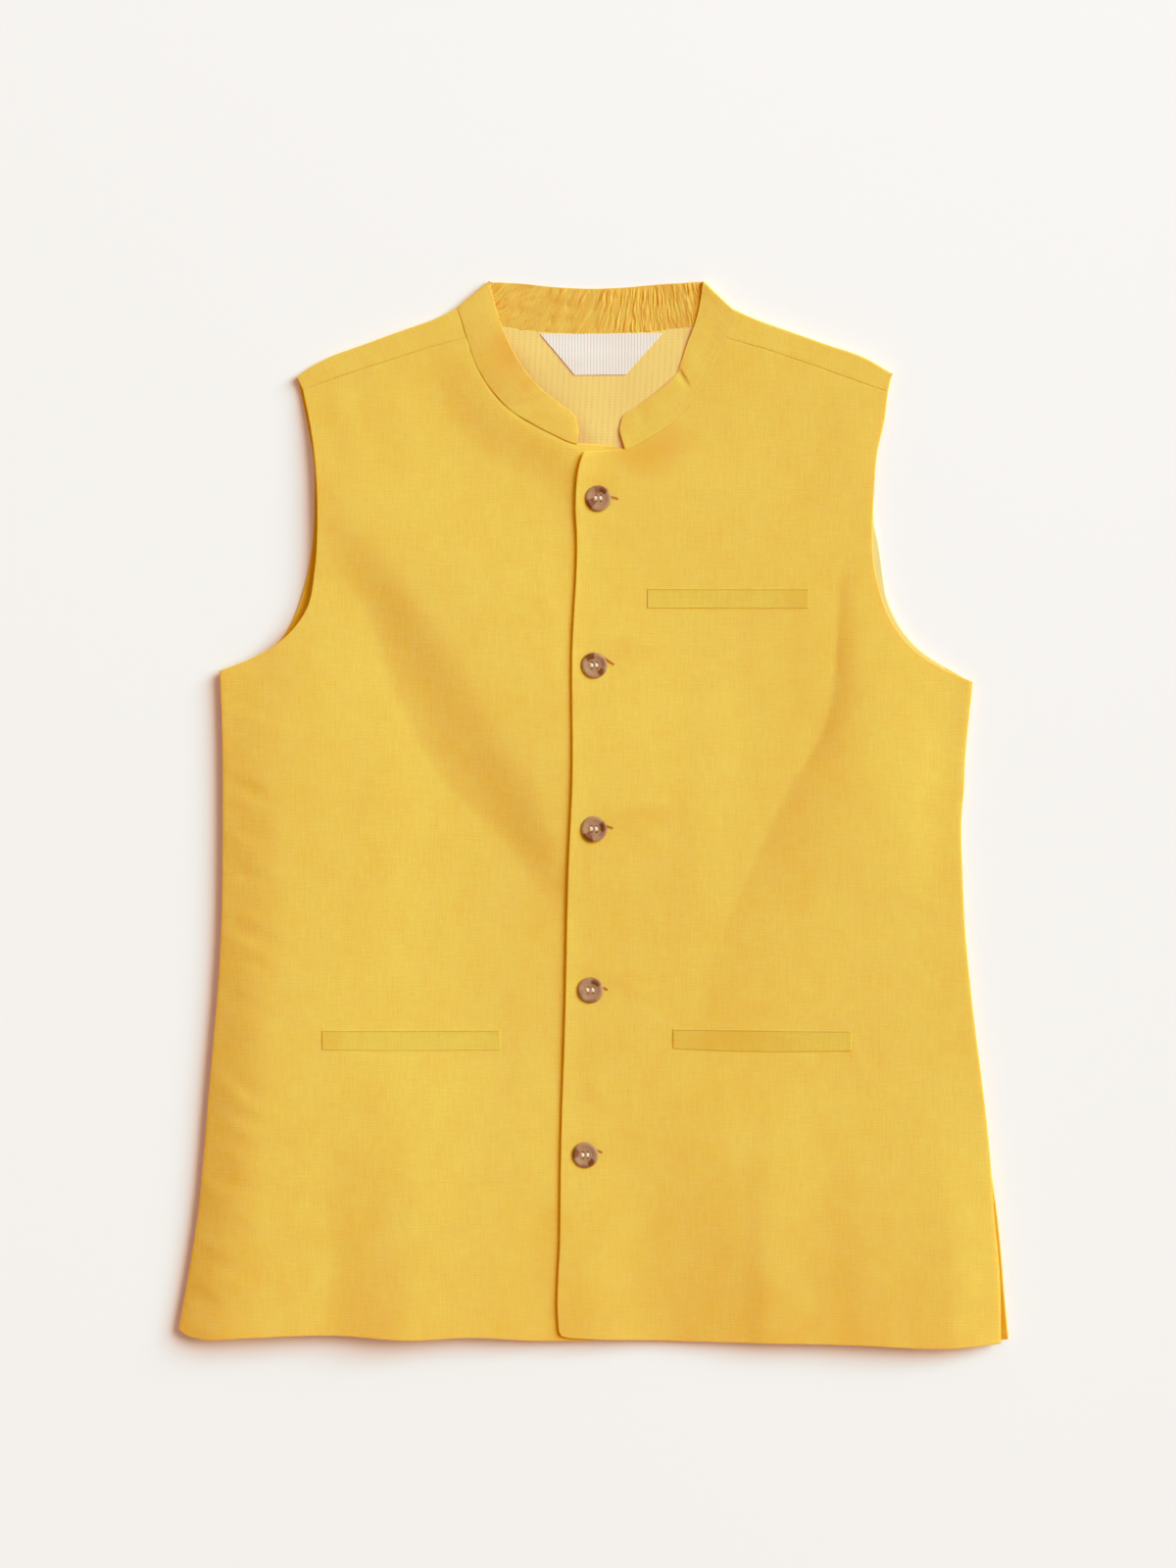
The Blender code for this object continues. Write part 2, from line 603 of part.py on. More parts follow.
for thing in list(bpy.data.objects):
    bpy.data.objects.remove(thing)
jacket = new_collection("nehru_jacket")
cutters = new_collection("cutters")

make_back()
make_lining()
make_right_front()
make_left_front()
make_collar()
make_label()
make_welt("chest_welt", left_front_top)
make_welt("pocket_welt_right", right_front_top)
make_welt("pocket_welt_left", left_front_top)
make_buttons()
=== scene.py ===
# %% [markdown]
# # A nehru jacket, laid flat and buttoned
# The real thing is a sleeveless linen jacket with a band collar. It lies on its back, so every
# panel is a thin sheet that rests on the one below. We load the CAD model as a fixed frame
# first, because each new piece takes its place from it. Nothing here is fitted afterwards.

# %% Load the frame
import bpy
import numpy as np
from math import atan2, cos, hypot, pi, radians, sin
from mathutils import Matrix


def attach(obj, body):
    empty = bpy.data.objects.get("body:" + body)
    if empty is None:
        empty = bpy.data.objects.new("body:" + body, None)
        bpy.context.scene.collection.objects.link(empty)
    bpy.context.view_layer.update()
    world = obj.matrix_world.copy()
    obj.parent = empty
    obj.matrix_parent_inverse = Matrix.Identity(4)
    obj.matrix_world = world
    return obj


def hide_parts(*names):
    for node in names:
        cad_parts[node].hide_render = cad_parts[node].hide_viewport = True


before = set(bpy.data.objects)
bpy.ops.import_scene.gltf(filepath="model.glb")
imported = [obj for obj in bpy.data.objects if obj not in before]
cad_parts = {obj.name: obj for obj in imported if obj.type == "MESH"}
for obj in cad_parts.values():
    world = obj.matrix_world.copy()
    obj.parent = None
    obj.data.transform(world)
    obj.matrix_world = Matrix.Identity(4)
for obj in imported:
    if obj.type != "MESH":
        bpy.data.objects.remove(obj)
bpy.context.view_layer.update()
MM = 0.001

# %% [markdown]
# ## The pattern
# A maker starts from paper patterns. Ours are short tables of points in millimetres, x across
# the jacket and y from hem to collar, the same lines that the CAD panels were cut to. A table
# is easier to read and to correct than a mesh with thousands of points, and the smooth line
# through it gives as many points as a panel needs. "Right" and "left" are the wearer's.

# %% Outlines of the fronts
SIDE_RIGHT = ((-292, -361.5), (-289.4, -348), (-285, -323.6), (-280.5, -296), (-269.8, -185.6),
    (-262.2, -88.3), (-260.8, -6.9), (-261.5, 66.9), (-262.9, 100.5))
ARMHOLE_RIGHT = ((-262.9, 100.5), (-237.7, 110.4), (-225.1, 117.3), (-208, 133.5), (-201.1, 144.9),
    (-196.3, 169.1), (-194.2, 213.9), (-198.4, 267.7), (-204.6, 298.1))
SHOULDER_SEAM_RIGHT = ((-204.6, 298.1), (-175.7, 308.4), (-151.1, 316.5), (-114.1, 328.2),
    (-88.4, 334.9))
HEM_RIGHT = ((-292, -361.5), (-286.6, -365.7), (-278.8, -368), (-245.6, -367.3), (-207.7, -365.8),
    (-180, -365.8), (-128.3, -368.8), (-86.9, -367.3), (-42.1, -369.8), (8.5, -369.5))
UNDERLAP = ((8.5, -369.5), (14, -55), (18.5, 258.2))

SIDE_LEFT = ((286.1, -371.8), (285.2, -322.9), (281.5, -282.2), (278.6, -240.8), (264.3, -115.9),
    (261.1, -80.7), (259.4, -42.1), (258.8, 0), (260.3, 16), (261.1, 35.2), (266.7, 92.7))
ARMHOLE_LEFT = ((266.7, 92.7), (247.7, 101), (236.7, 107), (223.9, 116.6), (212.8, 129.9),
    (207.3, 139.4), (201.8, 153.9), (197.8, 171.1), (197.2, 228.4), (199.4, 254.2), (204.1, 275.3),
    (206.8, 296.4))
SHOULDER_SEAM_LEFT = ((91.9, 334.5), (117.6, 327.5), (144.1, 318.8), (170.4, 309.6),
    (206.8, 296.4))
HEM_LEFT = ((-22.6, -366.4), (-18, -367.4), (-4.1, -368.4), (51.1, -370.1), (202.9, -373.5),
    (231.8, -375), (260.8, -374.5), (286.1, -371.8))
PLACKET = ((-22.6, -366.4), (-24.4, -363.6), (-25, -358), (-23.8, -296), (-23.2, -240),
    (-20, -135), (-17.9, -40.7), (-15.2, 21.4), (-15.2, 113.2), (-11.9, 194.6), (-12.8, 217.4),
    (-9.2, 248), (-6.9, 254.1))
print("hems:", [round(hem[-1][0] - hem[0][0]) for hem in (HEM_RIGHT, HEM_LEFT)], "mm wide")

# %% Outlines of the back and its lining
BACK_SIDE_RIGHT = ((-290, -360), (-284.6, -323.6), (-280.1, -296), (-269.4, -185.6),
    (-261.8, -88.3), (-260.4, -6.9), (-261.1, 66.9), (-262.4, 100))
BACK_ARMHOLE_RIGHT = ((-262.4, 100), (-228.4, 115.9), (-220.8, 122.1), (-213.9, 132.5),
    (-205.6, 153.2), (-200.5, 173.5), (-196.6, 221.5), (-197.3, 249.1), (-200.9, 270.5))
BACK_SIDE_LEFT = ((291.9, -369.2), (289.8, -347.1), (284.7, -288.4), (278.4, -240.8),
    (263.9, -115.9), (260.7, -80.7), (259, -42.1), (258.4, 0), (259.9, 16), (260.7, 35.2),
    (266.2, 92.2))
BACK_ARMHOLE_LEFT = ((266.2, 92.2), (248.6, 102.4), (238, 108.7), (226, 118.5), (215.4, 131.5),
    (210.4, 140.9), (205.8, 152.8), (203.2, 163.3), (199.6, 187), (196.5, 215), (197.5, 245),
    (201.5, 270))
BACK_HEM = ((-290, -360), (-284, -363), (-207.7, -364.5), (-86.9, -366), (51.1, -368.5),
    (202.9, -372), (260.8, -373), (291.9, -369.2))
SHOULDER_FOLD_RIGHT = ((-208.9, 307.3), (-200.3, 313.4), (-188, 320.2), (-163.5, 329.4),
    (-131.3, 341.1), (-110.4, 348.5), (-94.8, 356.6))
SHOULDER_FOLD_LEFT = ((96.6, 355.7), (111.1, 349.1), (137.3, 339.5), (163.9, 330.1),
    (190.2, 320.9), (210, 309.6))
LINING_SIDE_RIGHT = ((-276, -350), (-260, -185.6), (-251.5, -6.9), (-252, 93))
LINING_ARMHOLE_RIGHT = ((-252, 93), (-226, 106), (-207, 127), (-198, 155), (-191, 215),
    (-195, 262), (-199, 289))
LINING_SIDE_LEFT = ((277, -354), (266, -235), (251, -80.7), (249.5, 0), (252, 60), (253, 93))
LINING_ARMHOLE_LEFT = ((253, 93), (247, 102.4), (237.4, 108.5), (225.4, 118.3), (214.9, 131.3),
    (210, 140.7), (205.6, 152.8), (203.8, 163.5), (200.6, 187), (195, 215), (194, 245), (197, 268),
    (200.5, 288))
LINING_HEM = ((-276, -350), (-86.9, -354), (120, -358), (277, -354))
LINING_SHOULDER_RIGHT = ((-199, 289), (-163.5, 318.5), (-120, 334), (-95, 340.5), (-64.7, 342.4))
LINING_SHOULDER_LEFT = ((71.4, 342.6), (99, 340.5), (124, 333), (163.9, 318.5), (200.5, 288))
print("hem of the back:", round(BACK_HEM[-1][0] - BACK_HEM[0][0]), "mm wide")

# %% [markdown]
# ## From a table to a smooth line
# A Catmull-Rom curve, weighted by how far apart its rows are, keeps each measured point.
# Points are then spread along its length, with a narrow cell at each end, which keeps the
# rounding of an edge from shading the whole cell beside it.

# %% Line helpers
def smooth(table, steps=8):
    """A smooth line through every row of a table, however unevenly the rows are spaced."""
    knots = np.array(table, float)
    knots = np.vstack([2 * knots[0] - knots[1], knots, 2 * knots[-1] - knots[-2]])
    chord = np.linalg.norm(np.diff(knots[:, :4], axis=0), axis=1)[:, None]
    rate = np.diff(knots, axis=0) / chord
    way = (rate[:-1] * chord[1:] + rate[1:] * chord[:-1]) / (chord[:-1] + chord[1:])
    t = np.arange(steps)[:, None] / steps
    spans = [
        (2 * t ** 3 - 3 * t ** 2 + 1) * start + (3 * t ** 2 - 2 * t ** 3) * end
        + (t ** 3 - 2 * t ** 2 + t) * size * leaves + (t ** 3 - t ** 2) * size * arrives
        for start, end, leaves, arrives, size
        in zip(knots[1:-2], knots[2:-1], way, way[1:], chord[1:-1])]
    return np.vstack(spans + [knots[-2:-1]])


def length_along(line):
    """How far each point of a line is from its start."""
    return np.append(0.0, np.cumsum(np.linalg.norm(np.diff(line, axis=0), axis=1)))


def spread(line, cells, first=None, last=None):
    """Points spread evenly along a line, with a first or a last cell of its own width."""
    along = length_along(line)
    goals = np.linspace(first or 0.0, along[-1] - (last or 0.0), cells + 1)
    goals = np.concatenate([[0.0] if first else [], goals, [along[-1]] if last else []])
    return np.column_stack([np.interp(goals, along, axis) for axis in line.T])


def joined(*lines):
    """One edge of a panel from lines that meet end to end."""
    return np.vstack([lines[0]] + [line[1:] for line in lines[1:]])


def moved_right(line, distance):
    """A line moved square to itself, to the right of its direction."""
    way = np.gradient(line, axis=0)
    way /= np.linalg.norm(way, axis=1)[:, None]
    return line + distance * np.column_stack([way[:, 1], -way[:, 0]])


def fill(bottom, top, left, right):
    """Rows of points that fill four edges. The hem's and the top's own shape fade inwards."""
    across = (top[:, 0] - top[0, 0]) / (top[-1, 0] - top[0, 0])
    up = (left[:, 1] - left[0, 1]) / (left[-1, 1] - left[0, 1])
    u, v = across[None, :, None], up[:, None, None]
    straight = left[:, None] * (1 - u) + right[:, None] * u
    hem_shape = bottom[None] - (bottom[0] * (1 - u) + bottom[-1] * u)
    top_shape = top[None] - (top[0] * (1 - u) + top[-1] * u)
    return straight + (1 - v) ** 3 * hem_shape + v ** 3 * top_shape


def at_shares(line, shares):
    """The points at the given shares of a line's length."""
    along = length_along(line)
    return np.column_stack([np.interp(shares * along[-1], along, axis) for axis in line.T])


def shares_of(line, axis):
    """How far each point of an edge is from its first to its last along an axis."""
    return (line[:, axis] - line[0, axis]) / (line[-1, axis] - line[0, axis])


print("placket edge:", round(length_along(smooth(PLACKET))[-1]), "mm long")

# %% [markdown]
# ## Folds
# Cloth that lies flat is never quite flat. Each fold here is a soft ridge that runs along its
# own line, and it is steep on one side and gentle on the other, as a real drag line is. A row
# of its table holds x, y, the width of the slope on the left and on the right of the line, and
# the height. Folds listed one by one beat a noise texture, because cloth folds where it is pulled:
# from the armhole to the buttons, from the pockets to the hem, and out from under the collar.

# %% Tables of the folds
SOFT, FOOT, DEEP = 0, 1, 2              # steepest half way, at the foot, low down
FOLDS = (
    # from the right armhole across the chest to the middle button
    (DEEP, SOFT, ((-6, -70, 24, 90, 0), (-16, -42, 28, 120, 2.2), (-25, -14, 36, 150, 4.6),
        (-39, 26, 52, 170, 7.1), (-69, 73, 58, 170, 7.7), (-98, 122, 52, 160, 7.6),
        (-129, 166, 40, 130, 5.8), (-156, 200, 34, 100, 2.8), (-182, 246, 32, 80, 0))),
    # from the left armhole down towards the fourth button
    (FOOT, SOFT, ((139, -200, 60, 120, 0), (138, -160, 60, 120, 0.9), (139, -117, 58, 110, 1.9),
        (146, -82, 50, 100, 2.6), (154, -56, 46, 90, 3.4), (168, -28, 48, 90, 5),
        (182, -4, 50, 84, 5.9), (190, 18, 48, 80, 6.1), (192, 48, 36, 76, 5),
        (190, 80, 23, 74, 3.7), (187, 118, 16, 70, 2.7), (188, 152, 15, 60, 1.5),
        (191, 185, 14, 50, 0))),
    # from under the right pocket to the hem
    (DEEP, SOFT, ((-126, -372, 60, 180, 8.4), (-124, -300, 62, 180, 6.5),
        (-125, -240, 62, 160, 4.4), (-129, -195, 58, 130, 2.2), (-131, -158, 54, 100, 0))),
    # from under the left pocket to the hem
    (DEEP, SOFT, ((150, -372, 92, 320, 6), (132, -320, 88, 300, 5.4), (114, -270, 80, 260, 4),
        (98, -228, 74, 200, 2.4), (84, -180, 70, 140, 0))),
    (SOFT, SOFT, ((124, -372, 20, 34, 0.9), (122, -300, 20, 34, 1.1), (127, -240, 20, 30, 0.8),
        (133, -190, 18, 24, 0))),
    # ridge between the placket and that fold
    (SOFT, SOFT, ((2, -372, 40, 42, 2), (-4, -310, 40, 40, 1.6), (-6, -250, 38, 36, 0.8),
        (-4, -200, 34, 32, 0))),
    # swell beside the right side seam
    (SOFT, SOFT, ((-243, -372, 130, 170, 10.2), (-238, -290, 130, 170, 10.2),
        (-226, -180, 130, 170, 10.2), (-216, -60, 130, 160, 8.6), (-212, 40, 130, 150, 7.6),
        (-206, 110, 120, 110, 3.8), (-196, 165, 110, 70, 0))),
    # cloth standing up along the right armhole
    (SOFT, SOFT, ((-240, 110, 20, 80, 0), (-216, 128, 20, 90, 1.6), (-203, 158, 20, 100, 2.8),
        (-196, 190, 20, 110, 3.4), (-196, 230, 20, 110, 3.2), (-199, 265, 20, 100, 2.2),
        (-206, 296, 20, 80, 0))),
    # swell beside the left side seam
    (SOFT, SOFT, ((246, -372, 100, 130, 2.8), (240, -240, 90, 130, 1.8), (230, -100, 70, 130, 0.9),
        (236, 20, 40, 120, 0.4), (240, 80, 30, 100, 0))),
    # cloth lifted by the collar seam on the right, and drawn down by it on the left
    (SOFT, SOFT, ((2, 190, 26, 24, 0), (-7, 222, 30, 24, 1), (-13, 248, 34, 26, 2.2),
        (-24, 263, 36, 26, 2.9), (-44, 274, 38, 24, 3), (-61, 285, 38, 22, 2.9),
        (-75, 300, 36, 20, 2.4), (-85, 318, 32, 18, 1.5), (-92, 338, 30, 16, 0.4))),
    (SOFT, SOFT, ((92, 338, 16, 34, 0), (84, 318, 16, 36, -0.3), (74, 300, 20, 38, -0.7),
        (62, 284, 26, 40, -1.3), (46, 270, 34, 40, -2), (32, 261, 38, 40, -2.2),
        (22, 252, 36, 30, -1.7), (14, 240, 30, 24, -0.8), (10, 222, 24, 20, 0))),
    # drag lines under the right shoulder
    (FOOT, SOFT, ((-108, 222, 20, 40, 0), (-121, 245, 22, 40, 0.5), (-141, 280, 22, 34, 0.7),
        (-150, 303, 18, 30, 0.5), (-158, 325, 16, 26, 0.1))),
    (SOFT, SOFT, ((-158, 228, 14, 24, 0), (-168, 262, 15, 24, 0.5), (-177, 290, 15, 24, 0.6),
        (-183, 312, 14, 20, 0.1))),
    # drag lines under the left shoulder
    (SOFT, SOFT, ((172, 200, 24, 30, 0), (178, 240, 24, 30, 0.5), (183, 285, 22, 26, 0.4),
        (186, 315, 20, 24, 0))),
    (SOFT, SOFT, ((88, 240, 26, 26, 0), (100, 270, 24, 24, 0.3), (112, 310, 22, 22, 0.2),
        (118, 330, 20, 20, 0))),
    # puckers along the right side seam
    (SOFT, FOOT, ((-264, -12, 9, 12, 0.5), (-250, -20, 10, 15, 0.8), (-236, -31, 8, 12, 0))),
    (SOFT, FOOT, ((-266, -84, 9, 11, 0.7), (-252, -91, 11, 14, 1), (-234, -103, 9, 12, 0))),
    (SOFT, FOOT, ((-262, 34, 8, 10, 0.3), (-250, 27, 8, 12, 0.5), (-240, 20, 8, 10, 0))),
    (SOFT, FOOT, ((-274, -184, 9, 12, 0.7), (-258, -192, 10, 14, 0.9), (-240, -206, 9, 12, 0))),
    (SOFT, FOOT, ((-280, -262, 9, 12, 0.3), (-268, -268, 10, 12, 0.35), (-254, -279, 9, 12, 0))),
    # puckers along the left side seam
    (SOFT, FOOT, ((262, 8, 8, 8, 0.6), (252, 2, 9, 8, 0.5), (241, -2, 8, 8, 0))),
    (SOFT, SOFT, ((240, -291, 10, 12, 0), (262, -286, 11, 12, 0.8), (282, -279, 9, 10, 0.7))),
    (SOFT, SOFT, ((238, -347, 12, 14, 0), (260, -336, 12, 14, 0.8), (284, -325, 10, 12, 0.7))),
    # pulls at the pocket corners
    (SOFT, FOOT, ((-212, -136, 7, 9, 0), (-201, -143, 7, 9, 0.3), (-190, -152, 6, 8, 0.2))),
    (SOFT, FOOT, ((182, -166, 7, 6, 0.2), (189, -178, 8, 7, 0.3), (200, -198, 10, 9, 0))),
    (SOFT, SOFT, ((26, -132, 7, 9, 0), (40, -144, 8, 9, 0.3), (56, -152, 7, 8, 0.2))),
    (SOFT, SOFT, ((44, -128, 6, 8, 0), (52, -140, 6, 8, 0.2), (62, -149, 6, 7, 0.1))),
    # small creases that fan out from the buttons
    (SOFT, FOOT, ((16, -4, 5, 6, 0), (30, -8, 7, 8, 0.2), (44, -19, 8, 9, 0.15),
        (62, -27, 8, 10, 0))),
    (SOFT, FOOT, ((18, 4, 5, 6, 0), (36, 8, 8, 9, 0.4), (60, 3, 10, 10, 0))),
    (SOFT, SOFT, ((16, 108, 6, 6, 0), (32, 116, 8, 10, 0.4), (54, 122, 10, 12, 0))),
    (SOFT, SOFT, ((14, -118, 6, 6, 0), (28, -122, 8, 9, 0.4), (50, -130, 10, 10, 0))),
    (SOFT, FOOT, ((6, -178, 6, 8, 0), (4, -192, 7, 9, 0.4), (7, -208, 6, 8, 0))),
    (SOFT, FOOT, ((-36, 162, 10, 10, 0), (-32, 148, 10, 9, 0.4), (-26, 132, 9, 9, 0))),
    (SOFT, SOFT, ((-24, 118, 8, 10, 0), (-30, 104, 9, 10, 0.35), (-26, 90, 9, 10, 0))),
    # long shallow waves down the fronts
    (SOFT, SOFT, ((-156, -150, 26, 30, 0), (-150, -60, 28, 34, 0.7), (-146, 30, 26, 34, 0.6),
        (-150, 90, 24, 30, 0))),
    (SOFT, SOFT, ((-44, -300, 24, 30, 0), (-50, -180, 26, 30, 0.6), (-62, -70, 24, 28, 0))),
    (SOFT, SOFT, ((66, -130, 22, 26, 0), (72, -40, 24, 28, 0.6), (80, 60, 24, 28, 0.5),
        (84, 130, 22, 24, 0))),
    (SOFT, SOFT, ((196, -370, 26, 30, 0.8), (190, -300, 26, 30, 0.8), (184, -230, 24, 28, 0))),
    (SOFT, SOFT, ((150, 170, 24, 22, 0), (156, 120, 26, 22, 0.6), (150, 60, 24, 20, 0))),
)
print("folds:", len(FOLDS))

# %% [markdown]
# ## Heights
# The layers lie on each other as they do on a table: back, lining, right front, left front. A
# height function says how high the outer face of a layer is at any point, so whatever lies on
# a panel takes its place from the same function, and no layer can cut through the next one.

# %% Height of a fold and of a sum of folds
def beside(line, x, y):
    """For each point, how far along a line its nearest place is and how far it lies left of it."""
    best, along, aside = (np.full(np.shape(x), value) for value in (1e9, 0.0, 0.0))
    done = 0.0
    for (ax, ay), (bx, by) in zip(line, line[1:]):
        length = hypot(bx - ax, by - ay)
        ex, ey = (bx - ax) / length, (by - ay) / length
        t = np.clip((x - ax) * ex + (y - ay) * ey, 0.0, length)
        dx, dy = x - ax - t * ex, y - ay - t * ey
        gap = np.hypot(dx, dy)
        near = gap < best
        best = np.where(near, gap, best)
        along = np.where(near, done + t, along)
        aside = np.where(near, np.where(ex * dy - ey * dx < 0, -gap, gap), aside)
        done += length
    return along, aside


def slope(kind, share):
    """Height of one side of a fold, from 1 at its top to 0 at its foot."""
    share = np.clip(share, 0.0, 1.0)
    soft, foot = 0.5 * (1 + np.cos(pi * share)), 1 - share ** 2
    return (soft, foot, 0.7 * soft + 0.3 * foot)[kind]


def fold_rise(x, y, folds=FOLDS):
    """Total rise of the folds at a point."""
    total = np.zeros(np.shape(x))
    for left_kind, right_kind, rows in folds:
        rows = smooth(rows, 4)
        far = length_along(rows[:, :2])
        along, aside = beside(rows[:, :2], x, y)
        left, right, rise = (np.interp(along, far, rows[:, column]) for column in (2, 3, 4))
        total += rise * np.where(
            aside > 0, slope(left_kind, aside / left), slope(right_kind, -aside / right))
    return total


print("rise at the middle button:", round(float(fold_rise(0.1, -10.6)), 2), "mm")

# %% Heights of the layers
BACK_WALL, LINING_WALL, FRONT_WALL, COLLAR_WALL = 1.5, 1.0, 1.5, 1.1
SEAM, EASE, LAP_SPACE = 0.3, 0.3, 0.4   # air between layers, over the lining, between the fronts
LINING_FLOOR = BACK_WALL + SEAM
FRONT_FLOOR = LINING_FLOOR + LINING_WALL + SEAM
FRONT_REST = FRONT_FLOOR + EASE + FRONT_WALL    # outer face of a front where it has no fold
OVERLAP = FRONT_WALL + LAP_SPACE                # rise of the left front over the right one
PLACKET_REACH = 14                              # width over which the buttonhole edge lifts
# outer height of each front at its side seam, from the hem up
EDGE_RIGHT = ((-372, 6.4), (-180, 7.0), (-60, 7.4), (67, 7.4), (100, 7.0))
EDGE_LEFT = ((-372, 7.6), (-200, 6.2), (0, 4.9), (92, 4.3))
CURL_RIGHT, CURL_LEFT = 46, 36                  # width over which a front rolls down to its seam
LIP_WIDTH, LIP_DROP = 3, 0.3                    # the last turn of that roll
SLIGHT, DRAWN, DRAWN_LEFT, DRAWN_WIDTH = 0.09, 0.8, 0.35, 64    # unevenness, see crinkle
BUTTONS = ((3.1, 221.5), (0.3, 104.1), (0.1, -10.6), (-2.4, -123.8), (-5.9, -239.4))
DIMPLE_RADIUS, DIMPLE_DEPTH = 17, 0.55


def x_at(table, y):
    """Where a line that runs up stands at a height y."""
    line = smooth(table)
    return np.interp(y, line[:, 1], line[:, 0])


def ramp(share):
    """Smooth rise from 0 to 1."""
    share = np.clip(share, 0, 1)
    return share * share * (3 - 2 * share)


def rough(u, v, seed):
    """Smooth random heights between -1 and 1, with a new height at each whole number."""
    lattice = np.random.default_rng(seed).uniform(-1, 1, (256, 256))
    i, j = np.floor(u).astype(int), np.floor(v).astype(int)
    s, t = ramp(u - i), ramp(v - j)
    low = lattice[i % 256, j % 256] * (1 - s) + lattice[(i + 1) % 256, j % 256] * s
    high = lattice[i % 256, (j + 1) % 256] * (1 - s) + lattice[(i + 1) % 256, (j + 1) % 256] * s
    return low * (1 - t) + high * t


def crinkle(x, y):
    """Unevenness of the fronts: slight all over, and drawn up beside the side seams."""
    from_side = np.minimum(x - x_at(SIDE_RIGHT, y), x_at(SIDE_LEFT, y) - x)
    slight = rough(x / 13, y / 17, 3) + 0.5 * rough(x / 6, y / 7.5, 4)
    drawn = rough(x / 30 + 40, (y + 0.4 * x) / 10, 5)
    share = np.where(x < 0, 1.0, DRAWN_LEFT)
    return SLIGHT * slight + DRAWN * share * drawn * (1 - ramp(from_side / DRAWN_WIDTH))


def edge_height(edge, y):
    """Outer height of a front at its side seam."""
    return np.interp(y, *zip(*edge))


def curled(height, distance, width, edge, roundness):
    """Outer height near a side seam, where the front rolls down to the back."""
    share = np.clip(1 - distance / width, 0, 1)
    lip = np.clip(1 - distance / LIP_WIDTH, 0, 1)
    return height - (height - edge) * share ** roundness - LIP_DROP * lip ** 2


def dimple(x, y):
    """How far the thread of the buttons pulls the cloth down round them."""
    near = sum(np.clip(1 - ((x - bx) ** 2 + (y - by) ** 2) / DIMPLE_RADIUS ** 2, 0, 1) ** 2
               for bx, by in BUTTONS)
    return DIMPLE_DEPTH * near


def rumpled(x, y):
    """Outer height of a front with its folds, apart from its edges."""
    return FRONT_REST + fold_rise(x, y) + crinkle(x, y) - dimple(x, y)


def right_front_top(x, y):
    """Outer height of the right front."""
    return curled(rumpled(x, y), x - x_at(SIDE_RIGHT, y), CURL_RIGHT, edge_height(EDGE_RIGHT, y),
                  np.interp(y, (-300, 60), (2.6, 1.7)))


def placket_lift(y):
    """How much the buttonhole edge lifts: most at the neck and where the chest fold meets it."""
    return np.interp(y, (-366, -250, -120, -40, 60, 190, 254), (0.2, 0.3, 0.7, 0.9, 0.4, 0.7, 1.6))


def left_front_top(x, y):
    """Outer height of the left front, which steps over the right one at its placket edge."""
    comes_down = np.interp(y, (200, 265), (210, 60))
    lap = OVERLAP * ramp((x_at(UNDERLAP, y) + 2 + comes_down - x) / comes_down)
    from_edge = np.clip((x - x_at(PLACKET, y)) / PLACKET_REACH, 0, 1)
    height = rumpled(x, y) + lap + placket_lift(y) * (1 - from_edge) ** 2
    return curled(height, x_at(SIDE_LEFT, y) - x, CURL_LEFT, edge_height(EDGE_LEFT, y), 1.4)


def yoke_top(x, y):
    """Outer height of the back where it comes over the shoulder."""
    return FRONT_REST + fold_rise(x, y)


NECK_OPENING = ((2, 349), (56, 346), (60, 322), (46, 302), (18, 280), (4, 266), (-8, 280),
                (-26, 296), (-46, 318), (-52, 345), (2, 349))
NECK_SWELL, SWELL_LOST = 2.6, 1.5       # at the right half of the collar, and less at the left
SWELL_REACH, SWELL_END, SWELL_FADE = 17, 318, 22


def lining_top(x, y):
    """Outer height of the lining, which swells up inside the neck to the collar round it."""
    aside = beside(smooth(NECK_OPENING, 6), x, y)[1]
    inside = 1 - ramp(np.maximum(aside, 0) / SWELL_REACH)
    swell = NECK_SWELL - SWELL_LOST * ramp((x + 22) / 44)
    fade = 1 - ramp((y - SWELL_END) / SWELL_FADE)
    return LINING_FLOOR + LINING_WALL + swell * inside * fade


print("left front at the top button:", round(float(left_front_top(3.1, 221.5)), 1), "mm high")

# %% [markdown]
# ## One cloth piece from rows of points
# A grid primitive has the right topology for a cloth panel: rows and columns that can follow
# the yarns. We set its vertices to the places worked out above, and let Solidify give it a wall
# and Bevel round the wall's edge, as a turned and pressed edge is. The alternative, a cloth
# simulation, would lose the folds that we want in known places. The UV map is the cloth itself
# in metres, so a weave drawn on it follows the panel round a shoulder or along the collar.

# %% Cloth maker
ROUNDING = 0.38             # radius of a cloth edge, as a share of its wall
RIM = 1.3                   # width of the narrow cell beside an edge, which holds that rounding


def select(*pieces):
    """Select these pieces and nothing else, and make the first one active."""
    bpy.ops.object.select_all(action="DESELECT")
    for piece in pieces:
        piece.select_set(True)
    if pieces:
        bpy.context.view_layer.objects.active = pieces[0]


def cloth_lengths(rows):
    """The cloth's own coordinates for rows of points: length across and length along."""
    across = np.cumsum(np.linalg.norm(np.diff(rows, axis=1), axis=2), axis=1)
    along = np.cumsum(np.linalg.norm(np.diff(rows, axis=0), axis=2).mean(axis=1))
    across = np.pad(across, ((0, 0), (1, 0)))
    along = np.broadcast_to(np.append(0.0, along)[:, None], across.shape)
    return np.stack([across, along], axis=-1)


def plan(rows):
    """The cloth's own coordinates of a panel that lies flat: its x and y."""
    return rows[..., :2]


